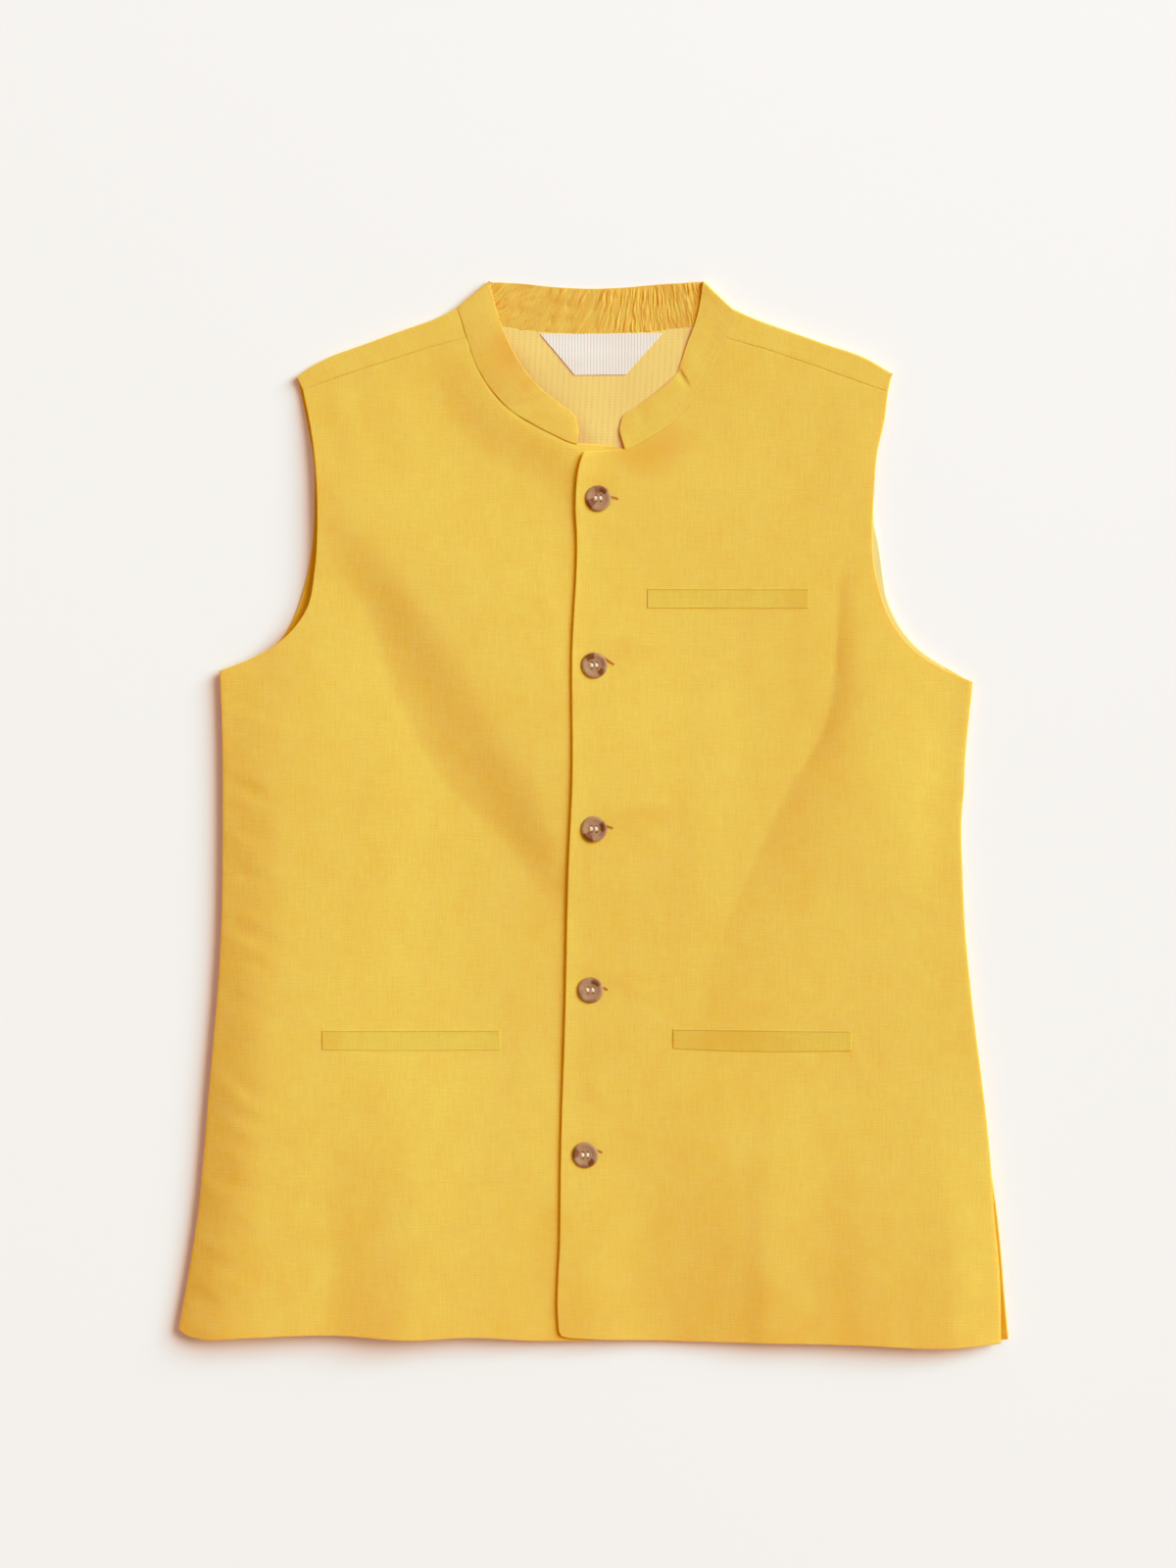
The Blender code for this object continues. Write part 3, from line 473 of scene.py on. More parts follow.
def grid_piece(name, rows, cloth):
    """A grid primitive whose vertices stand at the given rows of points, in millimetres."""
    select()
    bpy.ops.mesh.primitive_grid_add(
        x_subdivisions=rows.shape[1] - 1, y_subdivisions=rows.shape[0] - 1, size=2)
    piece = bpy.context.object
    piece.name = piece.data.name = name
    piece.data.vertices.foreach_set("co", (rows * MM).ravel())
    corners = np.empty(len(piece.data.loops), int)
    piece.data.loops.foreach_get("vertex_index", corners)
    piece.data.uv_layers[0].data.foreach_set("uv", (cloth.reshape(-1, 2)[corners] * MM).ravel())
    return piece


def join(name, parts, merge=0.02):
    """Join pieces, merge the points that meet, and keep the name of the whole."""
    select(*parts)
    if len(parts) > 1:
        bpy.ops.object.join()
    piece = bpy.context.object
    piece.name = piece.data.name = name
    if merge:
        bpy.ops.object.mode_set(mode="EDIT")
        bpy.ops.mesh.select_all(action="SELECT")
        bpy.ops.mesh.remove_doubles(threshold=merge * MM)
        bpy.ops.object.mode_set(mode="OBJECT")
    return piece


def finish_with(piece, kind, **settings):
    """Add one modifier and apply it."""
    bpy.context.view_layer.objects.active = piece
    made = piece.modifiers.new(kind, kind)
    for name, value in settings.items():
        setattr(made, name, value)
    bpy.ops.object.modifier_apply(modifier=made.name)


def moved_points(piece, move, start=0):
    """Change the places of a piece's points, from the one numbered start, in millimetres."""
    points = np.empty(len(piece.data.vertices) * 3)
    piece.data.vertices.foreach_get("co", points)
    points = points.reshape(-1, 3) / MM
    points[start:] = move(points[start:])
    piece.data.vertices.foreach_set("co", (points * MM).ravel())
    piece.data.update()


def walled(piece, wall, material, rounding=ROUNDING, inner=None):
    """Give a cloth piece its wall, its rounded edges and its material. The inner face is the
    one away from the side that was modelled, and its points can be moved by a function."""
    count = len(piece.data.vertices)
    finish_with(piece, "SOLIDIFY", thickness=wall * MM, offset=-1.0, use_even_offset=False)
    if inner:
        moved_points(piece, inner, start=count)
    finish_with(piece, "BEVEL", width=rounding * wall * MM, segments=3, limit_method="ANGLE",
                angle_limit=radians(50), use_clamp_overlap=False)
    moved_points(piece, lambda p: np.column_stack([p[:, :2], np.maximum(p[:, 2], 0)]))
    select(piece)
    bpy.ops.object.shade_smooth()
    piece.data.materials.clear()
    piece.data.materials.append(material)
    print(piece.name, "has", len(piece.data.polygons), "faces")
    return piece


def flat_cloth(name, rows, wall, material):
    """A cloth piece whose own coordinates are its plan."""
    return walled(grid_piece(name, rows, plan(rows)), wall, material)


def laid(flat, height):
    """Rows of flat points at their height."""
    return np.dstack([flat, height(flat[..., 0], flat[..., 1])])


def panel_side(side, armhole, side_cells, armhole_cells):
    """One side of a panel from the hem up: its side seam, then its armhole."""
    return joined(spread(smooth(side), side_cells, RIM),
                  spread(smooth(armhole), armhole_cells, None, RIM))


def panel(hem, top, left, right, height):
    """Rows of a panel from its hem's table, its other edges and its height."""
    return laid(fill(at_shares(smooth(hem), shares_of(top, 0)), top, left, right), height)


def surface_area(rows):
    """The area of a face given by rows of points, in square metres."""
    a, b, c, d = rows[:-1, :-1], rows[:-1, 1:], rows[1:, 1:], rows[1:, :-1]
    cross = np.cross(c - a, d - b)
    return float(np.linalg.norm(cross, axis=-1).sum() / 2) * MM * MM


def cloth_is(piece, node, slot, cut, rests_on, *faces):
    """Attach a cloth piece to the jacket, hide the CAD node it stands for and print its surface
    area; its cut is not used.
    """
    area = sum(surface_area(rows) for rows in faces)
    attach(piece, "root")
    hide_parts(node)
    print(node, "surface:", round(area, 4), "square metres")


def trim_is(piece):
    """Attach a small piece to the jacket."""
    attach(piece, "root")


print("a cloth edge is rounded by", ROUNDING, "of its wall, in a cell", RIM, "mm wide")

# %% [markdown]
# ## Writing materials as sums
# A material is easier to read as arithmetic than as forty lines that make and link nodes. The
# small class Wire stands for one output socket: adding or multiplying wires adds the Math
# nodes. Colours go through Mix nodes, since a Math node would turn them grey.

# %% A wire and a finish
class Wire:
    """One output of a node. Arithmetic on it adds Math nodes."""

    def __init__(self, finish, socket):
        self.finish, self.socket = finish, socket

    def math(self, operation, *values):
        """One Math node fed with values or wires."""
        return self.finish.node("ShaderNodeMath", {"operation": operation},
                                dict(enumerate(values)))

    def __add__(self, other):
        return self.math("ADD", self, other)

    def __mul__(self, other):
        return self.math("MULTIPLY", self, other)

    def __sub__(self, other):
        return self.math("SUBTRACT", self, other)

    def __rsub__(self, other):
        return self.math("SUBTRACT", other, self)

    def __truediv__(self, other):
        return self.math("DIVIDE", self, other)

    def __pow__(self, other):
        return self.math("POWER", self, other)

    __radd__ = __add__

    def sine(self):
        """Its sine, for an even wave."""
        return self.math("SINE", self)

    def part(self):
        """What is left of a number beside its whole part."""
        return self.math("FRACT", self)

    def rise(self, low, high):
        """Smooth rise from 0 at low to 1 at high."""
        return self.finish.node(
            "ShaderNodeMapRange", {"interpolation_type": "SMOOTHSTEP"},
            {"Value": self, "From Min": low, "From Max": high})


class Finish:
    """One material, with one method that makes any of its nodes."""

    def __init__(self, name):
        self.material = bpy.data.materials.new(name)
        self.material.use_nodes = True
        self.tree = self.material.node_tree
        self.shader = self.tree.nodes["Principled BSDF"]

    def node(self, kind, settings, inputs, output=0):
        """Make a node: its settings first, then the values or wires of its sockets."""
        made = self.tree.nodes.new(kind)
        for name, value in settings.items():
            setattr(made, name, value)
        self.feed(made, inputs)
        return Wire(self, made.outputs[output])

    def feed(self, node, inputs):
        """Give values or wires to a node's sockets."""
        for name, value in inputs.items():
            if isinstance(value, Wire):
                self.tree.links.new(value.socket, node.inputs[name])
            else:
                node.inputs[name].default_value = value

    def mix(self, share, first, second):
        """A colour between two colours."""
        return self.node("ShaderNodeMix", {"data_type": "RGBA"},
                         {0: share, 6: first, 7: second}, 2)

    def cloth(self):
        """The piece's own cloth coordinates, in metres."""
        return self.node("ShaderNodeUVMap", {"uv_map": "UVMap"}, {})

    def here(self):
        """The place in the scene, in metres."""
        return self.node("ShaderNodeTexCoord", {}, {}, "Object")

    def axes(self, place):
        """The x and the y of a place, in millimetres."""
        return [self.node("ShaderNodeSeparateXYZ", {}, {0: place}, axis) * 1000.0
                for axis in (0, 1)]

    def grain(self, place, width, height, seed=0.0, detail=2.0):
        """Noise with grains of a width and a height in millimetres, between 0 and 1."""
        spot = self.node("ShaderNodeMapping", {}, {
            "Vector": place, "Scale": (1000.0 / width, 1000.0 / height, 1.0),
            "Location": (seed, seed * 1.7, 0.0)})
        return self.node("ShaderNodeTexNoise", {"noise_dimensions": "2D"},
                         {"Vector": spot, "Scale": 1.0, "Detail": detail})

    def show(self, colour, roughness, height=None, depth=0.1, **constants):
        """Feed the shader: colour, roughness, a relief of a depth in millimetres, constants."""
        if height is not None:
            relief = self.node("ShaderNodeBump", {}, {
                "Height": height, "Strength": 1.0, "Distance": depth * MM})
            self.feed(self.shader, {"Normal": relief})
        self.feed(self.shader, {"Base Color": colour, "Roughness": roughness})
        self.feed(self.shader, {name.replace("_", " "): value
                                for name, value in constants.items()})
        return self.material


def tint(red, green, blue, *shares):
    """A colour for a socket, from linear values, each times its share where shares are given."""
    values = (red, green, blue)
    return (*(value * share for value, share in zip(values, shares or (1.0, 1.0, 1.0))), 1.0)


print("a yellow for a socket, at half its blue:", tint(1.0, 0.8, 0.2, 1.0, 1.0, 0.5))

# %% [markdown]
# ## Linen
# Linen is a plain weave of flax yarns. Flax is uneven, so some yarns have thick places, called
# slubs, that show as short streaks along the warp and across it. Up close the yarns pass over
# and under each other in a chequer. From a metre away only the streaks, a little mottling and
# a soft, nearly matt surface are left. The material has all three, and its yarns are a little
# coarser than real ones, so that they don't flicker from a distance.

# %% Linen
YARN = 0.42                                     # mm from one yarn to the next
LINEN = (0.800, 0.540, 0.086)
DITCH = (0.30, 0.150, 0.020)                    # deep shade beside a seam
TURN = 2.0                                      # mm over which an inside begins at a fold
# painted shade: over this span before its fold, the painted shade on an inside grows deeper in
# patches
END_SHADE_REACH = (62.0, 20.0)                          # mm from the fold where an inside gets patchier
DITCH_ACROSS, DITCH_BEFORE = (0.3, 0.95), (9.0, 4.0)


def linen(name, colour=LINEN, seed=0.0, inside=None, drawn=()):
    """Slubby plain weave in one colour. It gets painted shade on the length that is a piece's
    inside,
    and painted shade at given places: each place is x, y, half width, half height, strength."""
    made = Finish(name)
    place = made.cloth()
    x, y = made.axes(place)
    weft = made.grain(place, 11.0, 0.9, seed)
    warp = made.grain(place, 0.9, 11.0, seed + 5.0)
    long_weft = made.grain(place, 34.0, 1.6, seed + 9.0, 1.0)
    long_warp = made.grain(place, 1.4, 40.0, seed + 14.0, 1.0)
    mottle = made.grain(place, 26.0, 30.0, seed + 12.0, 3.0)
    patches = made.grain(place, 120.0, 150.0, seed + 17.0, 1.0)
    tone = sum(((grain - 0.5) * share for grain, share in (
        (weft, 0.7), (warp, 0.95), (long_weft, 0.3), (long_warp, 0.5), (mottle, 0.6),
        (patches, 0.3))), 0.5)
    shown = made.mix(tone, tint(*colour, 0.955, 0.905, 0.74), tint(*colour, 1.03, 1.075, 1.25))
    # painted shade: each given place is mixed towards a deeper orange, softly round its edge
    if drawn:
        seen_x, seen_y = made.axes(made.here())
        for at_x, at_y, half_width, half_height, strength in drawn:
            away_x, away_y = (seen_x - at_x) / half_width, (seen_y - at_y) / half_height
            far = (away_x * away_x + away_y * away_y) ** 0.5 + (mottle - 0.5) * 0.5
            shown = made.mix((1.0 - far.rise(0.1, 1.1)) * strength, shown,
                             tint(*colour, 0.88, 0.74, 0.60))
    # painted shade: the inside is drawn deeper in patches, more so towards its far end, and a thin
    # line of deep painted shade runs along the seam edge before the inside begins
    if inside:
        start, end = inside
        patchy_shade = made.grain(place, 9.0, 12.0, seed + 31.0, 3.0).rise(0.35, 0.65)
        share = y.rise(start - TURN, start + TURN) - y.rise(end - TURN, end + TURN)
        end_shade = y.rise(end - END_SHADE_REACH[0], end - END_SHADE_REACH[1])
        shown = made.mix(share * (0.45 + patchy_shade * 0.35 + end_shade * patchy_shade * 0.35), shown,
                         tint(*colour, 0.86, 0.76, 0.72))
        ditch = (1.0 - x.rise(*DITCH_ACROSS)) * (
            1.0 - y.rise(start - DITCH_BEFORE[0], start - DITCH_BEFORE[1]))
        shown = made.mix(ditch * (0.35 + patchy_shade * 0.5), shown, tint(*DITCH))
    weave = (x * (pi / YARN)).sine() * (y * (pi / YARN)).sine()
    relief = weave * 0.35 + weft * 0.9 + warp * 0.8
    return made.show(
        shown, 0.80 + (mottle - 0.5) * 0.16 + (weft - 0.5) * 0.1, relief, 0.11,
        Sheen_Weight=0.18, Sheen_Roughness=0.5, Sheen_Tint=(1.0, 0.86, 0.55, 1.0),
        Specular_IOR_Level=0.28, Subsurface_Weight=0.6, Subsurface_Radius=(1.0, 0.30, 0.04),
        Subsurface_Scale=4.0 * MM)


# painted shade on the fronts: darker towards the hem, below the collar on the left front, and
# beside three buttons
front_linen = linen("front_linen", seed=1.0, drawn=(
    (0, -430, 360, 220, 0.3), (200, -345, 120, 110, 0.2), (34, 252, 34, 20, 0.75),
    (54, 262, 26, 16, 0.5), (4, 240, 16, 22, 0.4), (20, 118, 18, 10, 0.3),
    (34, -2, 30, 14, 0.35), (24, -118, 18, 8, 0.3)))
back_linen = linen("back_linen", seed=23.0)
# the welts' linen is a little redder than the fronts', a painted lightening that offsets their
# shade; it gets painted shade over most of the left pocket welt, at the chest welt's right end and
# at the right pocket welt's left end
welt_linen = linen("welt_linen", (0.830, 0.530, 0.078), seed=57.0, drawn=(
    (95, -158, 60, 30, 0.5), (142, 151, 16, 20, 0.4), (-185, -158, 12, 20, 0.4)))
print("linen finishes:", front_linen.name, back_linen.name, welt_linen.name)

# %% [markdown]
# ## The lining
# The back is lined with a paler, thinner cloth. It has columns of small dots, woven where a
# thicker yarn comes to the surface, and a faint twill between them. A pattern that repeats is
# made by taking the part of a coordinate beside its whole number, which restarts at each column.

# %% Lining cloth
COLUMN, DOT = 4.15, 1.9                         # mm between columns, and between their dots


def dotted_lining(name):
    """Pale cloth with columns of woven dots."""
    made = Finish(name)
    place = made.cloth()
    x, y = made.axes(place)
    uneven = made.grain(place, 6.0, 6.0, 3.0)
    from_column = ((x - y * 0.06 + uneven * 0.5) / COLUMN).part() - 0.5
    from_dot = ((y + uneven * 0.4) / DOT).part() - 0.5
    away = (from_column * COLUMN / 1.05) ** 2.0 + (from_dot * DOT / 0.62) ** 2.0
    strength = made.grain(place, 5.0, 8.0, 9.0, 1.0).rise(0.25, 0.75) * 0.6 + 0.4
    dots = (1.0 - away.rise(0.35, 1.35)) * strength
    # a strip at the left armhole is paler and has no dots
    facing = made.axes(made.here())[0].rise(178.0, 186.0)      # the strip at the left armhole
    dots = dots * (1.0 - facing)
    twill = ((x + y * 0.8) / 1.25).part().rise(0.0, 0.5) * 0.5
    mottle = made.grain(place, 18.0, 24.0, 6.0)
    ground = made.mix(mottle, tint(0.760, 0.535, 0.215), tint(0.820, 0.600, 0.265))
    ground = made.mix(twill * 0.22, ground, tint(0.740, 0.500, 0.140))
    shown = made.mix(dots * 0.8, ground, tint(0.64, 0.455, 0.135))
    shown = made.mix(facing * 0.8, shown, tint(0.74, 0.62, 0.34))
    return made.show(shown, 0.62 + (mottle - 0.5) * 0.15, dots * -1.0 + twill * 0.3, 0.06,
                     Sheen_Weight=0.1, Sheen_Roughness=0.4, Specular_IOR_Level=0.35)


def ribbed_tape(name):
    """Cream woven tape with fine ribs."""
    made = Finish(name)
    place = made.cloth()
    x, y = made.axes(place)
    ribs = (x / 2.2 + made.grain(place, 8.0, 30.0, 2.0) * 0.2).part() - 0.5
    ribs = 1.0 - (ribs * ribs * 4.0).rise(0.1, 1.0)
    yarns = made.grain(place, 5.0, 0.7, 4.0)
    mottle = made.grain(place, 16.0, 9.0, 8.0, 3.0)
    shown = made.mix(ribs * 0.75 + mottle * 0.25,
                     tint(0.55, 0.505, 0.46), tint(0.78, 0.745, 0.715))
    return made.show(shown, 0.66 + (mottle - 0.5) * 0.16, ribs * 0.6 + yarns * 0.5, 0.12,
                     Sheen_Weight=0.12, Sheen_Roughness=0.4)


def thread(name, colour):
    """Twisted sewing thread."""
    made = Finish(name)
    twist = made.node("ShaderNodeTexWave", {"bands_direction": "DIAGONAL"}, {
        "Vector": made.here(), "Scale": 900.0, "Distortion": 1.5, "Detail": 1.0}, "Fac")
    shown = made.mix(twist, tint(*colour, 0.82, 0.82, 0.82), tint(*colour, 1.08, 1.08, 1.08))
    return made.show(shown, 0.55 + twist * 0.2, twist, 0.08, Sheen_Weight=0.15)


lining_cloth = dotted_lining("lining_cloth")
tape_weave = ribbed_tape("tape_weave")
gold_thread = thread("gold_thread", (0.50, 0.28, 0.035))
brown_thread = thread("brown_thread", (0.34, 0.16, 0.02))
# the dark thread also colours the painted shade of the buttonhole slits
dark_thread_and_slit_shade = thread("dark_thread_and_slit_shade", (0.30, 0.15, 0.012))
cream_thread = thread("cream_thread", (0.93, 0.86, 0.74))
print("lining, tape and thread finishes are ready")

# %% [markdown]
# ## The collar
# A band collar is one long strip, sewn round the neck and standing up when it is worn. Laid
# flat it folds at both shoulders: the back half lies inner face up, and the two front halves
# lie over it with their outer face up. A row of stations says where the strip's seam edge and
# its free edge are, so the whole collar is one grid: half, fold, back, fold and half.

# %% Stations of the collar
# x and y of the seam edge, x and y of the free edge, how much higher the free edge lies;
# for the back run the last two are the heights of both edges
COLLAR_RIGHT = (
    (-11.6, 259.5, -10.2, 266.5, -0.8),
    (-13.4, 259.7, -10.6, 273.2, -0.8),
    (-19.0, 261.6, -13.6, 280.2, -0.8),
    (-28.5, 266.2, -21.5, 286.4, -0.6),
    (-42.1, 273.1, -31.0, 293.6, -0.2),
    (-58.5, 283.4, -40.5, 302.2, 1.0),
    (-71.9, 297.4, -49.2, 312.6, 1.9),
    (-82.7, 315.2, -57.3, 326.4, 2.0),
    (-89.5, 334.6, -64.9, 343.6, 1.1),
    (-94.0, 349.0, -70.4, 362.0, 0.4))
COLLAR_CORNER_RIGHT = (-96.7, 355.7, -73.6, 374.8, 0.2)
COLLAR_BACK = (
    (-64.2, 342.9, -53.1, 373.3, 1.6, 0.0),
    (-25.8, 338.1, -25.8, 370.6, 1.6, 0.0),
    (-4.1, 337.4, -4.1, 369.6, 1.6, 0.0),
    (15.2, 337.7, 15.2, 370.0, 1.6, 0.0),
    (43.0, 339.6, 40.6, 372.1, 1.6, 0.1),
    (57.0, 341.2, 50.4, 372.8, 1.9, 0.4),
    (70.0, 343.0, 60.4, 373.3, 2.2, 0.9),
    (84.0, 348.2, 69.0, 374.0, 1.7, 0.8))
COLLAR_CORNER_LEFT = (98.3, 354.5, 77.2, 374.8, -0.3)
COLLAR_LEFT = (
    (95.5, 344.5, 75.5, 364.5, -0.5),
    (93.0, 334.6, 72.6, 349.8, -0.4),
    (85.6, 319.1, 65.0, 328.6, 0.1),
    (77.6, 302.8, 60.0, 313.2, 0.5),
    (73.0, 295.6, 58.6, 309.6, 0.6),
    (66.5, 286.8, 52.0, 303.3, 0.9),
    (54.2, 274.3, 42.4, 295.2, 1.0),
    (39.5, 264.8, 28.4, 285.2, 0.5),
    (28.2, 258.4, 20.2, 278.8, 0.2),
    (22.2, 255.6, 17.9, 269.5, 0.0))
NECK_SEAM, BACK_NECK_SEAM = -1.2, -0.35         # a panel reaches this far under the collar
SEAM_RISE = 0.1                                 # the seam edge above the front beside it
PRESSED = 0.8                                   # how far a pressed fold bulges outwards
HALF_STEPS, BACK_STEPS, NECK_STRIDE = 10, 80, 10    # points from one station to the next
CORNER_STEPS = 18                                   # points round a fold
COLLAR_SHARES = np.concatenate([[0.0, 0.024], np.linspace(0.055, 0.945, 24), [0.976, 1.0]])
COLLAR_FOLDS = (
    (SOFT, FOOT, ((-62, 285, 3, 8, 0.0), (-52, 287, 3, 9, -0.8), (-42, 291, 3, 9, -0.9),
                  (-32, 295, 3, 8, -0.5))),
    (SOFT, SOFT, ((-72, 345, 18, 16, 0.0), (-66, 332, 18, 18, -0.8), (-58, 316, 16, 16, -0.8),
                  (-52, 300, 14, 14, 0.0))),
    (SOFT, SOFT, ((59, 314, 2.5, 5, 0.0), (61, 310, 2.5, 5, -0.8), (64, 305, 2.5, 5, -0.8),
                  (68, 298, 2.5, 5, 0.0))),
    (SOFT, SOFT, ((92, 345, 9, 10, 0.0), (84, 334, 9, 10, -0.6), (76, 322, 9, 10, -0.5),
                  (70, 312, 8, 9, 0.0))),
    (SOFT, SOFT, ((36, 268, 5, 7, 0.0), (34, 276, 6, 7, -0.3), (32, 284, 5, 6, -0.2))))


def across_collar(stations):
    """Points across the collar at each station, from its seam edge to its free edge."""
    seam, free = stations[:, [0, 1, 4]], stations[:, [2, 3, 5]]
    return seam[:, None] + (free - seam)[:, None] * COLLAR_SHARES[None, :, None]


def with_heights(stations, front_top):
    """Stations whose seam edge lies level with the front beside it."""
    seam = front_top(stations[:, 0], stations[:, 1]) + SEAM_RISE
    return np.column_stack([stations[:, :4], seam, seam + stations[:, 4]])


def half_turn(fold, radius, way, steps):
    """Rows round a pressed fold, from the surface up to the layer on top."""
    turn = np.linspace(0, pi, steps + 1)[:, None]
    reach = PRESSED * (np.sin(turn) - 1)
    return np.stack([fold[:, 0] + way[..., 0] * reach, fold[:, 1] + way[..., 1] * reach,
                     radius * (1 - np.cos(turn))], axis=-1)


def folded_corner(corner, outward):
    """Rows round a fold of the collar."""
    fold = across_collar(with_heights(np.array([corner]), yoke_top))[0]
    side = np.array([fold[-1, 1] - fold[0, 1], fold[0, 0] - fold[-1, 0]])
    side *= outward / np.linalg.norm(side)
    return half_turn(fold, fold[:, 2] / 2, side, CORNER_STEPS)


def edges_of(row, *more):
    """The places of a row's two edges, as a station."""
    return (*row[0, :2], *row[-1, :2], *more)


corner_right = folded_corner(COLLAR_CORNER_RIGHT, -1)
corner_left = folded_corner(COLLAR_CORNER_LEFT, 1)
half_right = smooth(
    COLLAR_RIGHT + (edges_of(corner_right[-1], COLLAR_CORNER_RIGHT[-1]),), HALF_STEPS)
half_left = smooth((edges_of(corner_left[-1], COLLAR_CORNER_LEFT[-1]),) + COLLAR_LEFT, HALF_STEPS)
back_run = smooth((edges_of(corner_right[0], 0, 0), *COLLAR_BACK,
                   edges_of(corner_left[0], 0, 0)), BACK_STEPS)
back_run[:, 4:] = np.maximum(back_run[:, 4:], 0.0)
neck_right = moved_right(half_right[:8 * HALF_STEPS + 1, :2][::-1], NECK_SEAM)
neck_left = moved_right(half_left[2 * HALF_STEPS:, :2][::-1], NECK_SEAM)
neck_back = moved_right(back_run[::NECK_STRIDE, :2], BACK_NECK_SEAM)
print("collar:", len(half_right) + len(back_run) + len(half_left), "stations")

# %% [markdown]
# The inside of the back collar is drawn together where it was hand-felled to the neck seam, so
# it has small puckers about 3 mm apart that lean over at one end and stand up at the other.
# They are real relief, made on the inner face alone: the outer face stays flat on the table.

# %% Make the collar
ROLL, COLLAR_CRINKLE, COLLAR_ROUNDING = 0.3, 0.09, 0.25     # bulge of the middle, unevenness

collar_rows = np.concatenate([
    across_collar(with_heights(half_right, right_front_top)), corner_right[-2:0:-1],
    across_collar(back_run), corner_left[1:-1],
    across_collar(with_heights(half_left, left_front_top))])
back_start = len(half_right) + len(corner_right) - 2
back_end = back_start + len(back_run)
on_top = np.ones(len(collar_rows))[:, None]
on_top[len(half_right):-len(half_left)] = 0
collar_x, collar_y = collar_rows[..., 0], collar_rows[..., 1]
for relief in (fold_rise(collar_x, collar_y, COLLAR_FOLDS), ROLL * np.sin(pi * COLLAR_SHARES),
               COLLAR_CRINKLE * rough(collar_x / 9, collar_y / 9, 11)):
    collar_rows[..., 2] += on_top * relief


def collar_puckers(points):
    """Small ridges on the inner face of the back collar."""
    rows = points.reshape(collar_rows.shape)
    x, y = rows[back_start:back_end, :, 0], rows[back_start:back_end, :, 1]
    lean = np.interp(x, (-80, -30, 0, 30, 50), (1.35, 1.15, 0.75, 0.1, -0.1))
    along = (x - (y - 338) * lean) / (1 + 0.45 * lean)
    bent = 1.1 * rough(x / 9, y / 7, 21) + 0.5 * rough(x / 3, y / 3, 22)
    ridges = 1.7 * np.abs(rough((along + bent) / 2.3, y / 12 + x / 60, 23)) - 0.6
    finer = rough((along - bent) / 0.9, y / 5, 24)
    swells = rough(x / 11, y / 13, 25)
    ends = ramp((x + 92) / 20) * ramp((88 - x) / 14)
    near_edge = 1 - ramp((COLLAR_SHARES - 0.93) / 0.07)
    gain = np.interp(x, (-80, -30, 20, 70), (3.3, 2.8, 1.7, 1.9)) * (0.8 + 0.4 * swells)
    lift = (0.34 * ridges + 0.14 * finer) * gain + 0.3 * swells
    rows[back_start:back_end, :, 2] += lift * ends * near_edge
    return rows.reshape(points.shape)


collar_cloth = cloth_lengths(collar_rows)
# painted shade on the collar: its inside is drawn deeper, and two patches darken the middle of its
# right half
collar_linen = linen("collar_linen", (0.795, 0.530, 0.088), seed=41.0,
                     inside=collar_cloth[[back_start, back_end], 0, 1].tolist(),
                     drawn=((-64, 322, 16, 28, 0.55), (-46, 302, 12, 8, 0.35)))
collar = walled(grid_piece("collar_cloth", collar_rows, collar_cloth),
                COLLAR_WALL, collar_linen, COLLAR_ROUNDING, collar_puckers)

# %% [markdown]
# ## The back and its yoke
# The back is the largest piece. It lies face down on the table, and over each shoulder it turns
# up and comes forward to a seam, so a strip of it shows above each front. The flat part and the
# two turned strips are three grids whose edge points are the same, merged into one sheet.

# %% Make the back
FOLD_CELLS, BACK_CELLS = 56, (90, 44)           # cells along a shoulder fold; side and armhole
ROLL_UP, BACK_SPACE = 16, 0.45                  # width over which a side rolls up; air above it
SEAM_LAP, PRESS_SPACE = 0.2, 0.1                # yoke beyond its seam; air inside a pressed fold
SHOULDER_STEPS = 16                             # rows round a shoulder fold
YOKE_SHARES = np.append(np.linspace(0, 0.88, 8)[1:], 1.0)   # rows from the fold to the seam
FOLD_FADE = 2.5                                 # how soon the fold's own height is lost
ARMHOLE_FOOT, FOOT_HEIGHT = 90, 16              # above these the back no longer rolls up


def shoulder_turn(fold_table, seam_table):
    """Rows from the flat part, round the shoulder fold and on to the shoulder seam."""
    fold = spread(smooth(fold_table), FOLD_CELLS, RIM, RIM)
    seam = moved_right(spread(smooth(seam_table), FOLD_CELLS, RIM, RIM), SEAM_LAP)
    bend = half_turn(fold, yoke_top(*fold.T) / 2, fold - moved_right(fold, 1.0), SHOULDER_STEPS)
    share = YOKE_SHARES[:, None, None]
    flat = bend[-1, :, :2] * (1 - share) + seam * share
    top = yoke_top(flat[..., 0], flat[..., 1])
    start = bend[-1, :, 2] - yoke_top(*bend[-1, :, :2].T)
    top += start * (1 - ramp(share[..., 0] * FOLD_FADE))
    return np.concatenate([bend, np.dstack([flat, top])])


def between_layers(points):
    """Keep the inner face of the pressed shoulder folds between the layers they join."""
    x, y, z = points.T
    upper = np.maximum(yoke_top(x, y) - PRESS_SPACE, BACK_WALL)
    return np.column_stack([x, y, np.clip(z, PRESS_SPACE, upper)])


def rolled_up(x, y):
    """How far the back rises with the fronts at its side seams, below the armholes."""
    sides = (EDGE_RIGHT, x - x_at(BACK_SIDE_RIGHT, y)), (EDGE_LEFT, x_at(BACK_SIDE_LEFT, y) - x)
    return (1 - ramp((y - ARMHOLE_FOOT) / FOOT_HEIGHT)) * sum(
        (edge_height(edge, y) - FRONT_WALL - BACK_WALL - BACK_SPACE)
        * np.clip(1 - distance / ROLL_UP, 0, 1) ** 2 for edge, distance in sides)


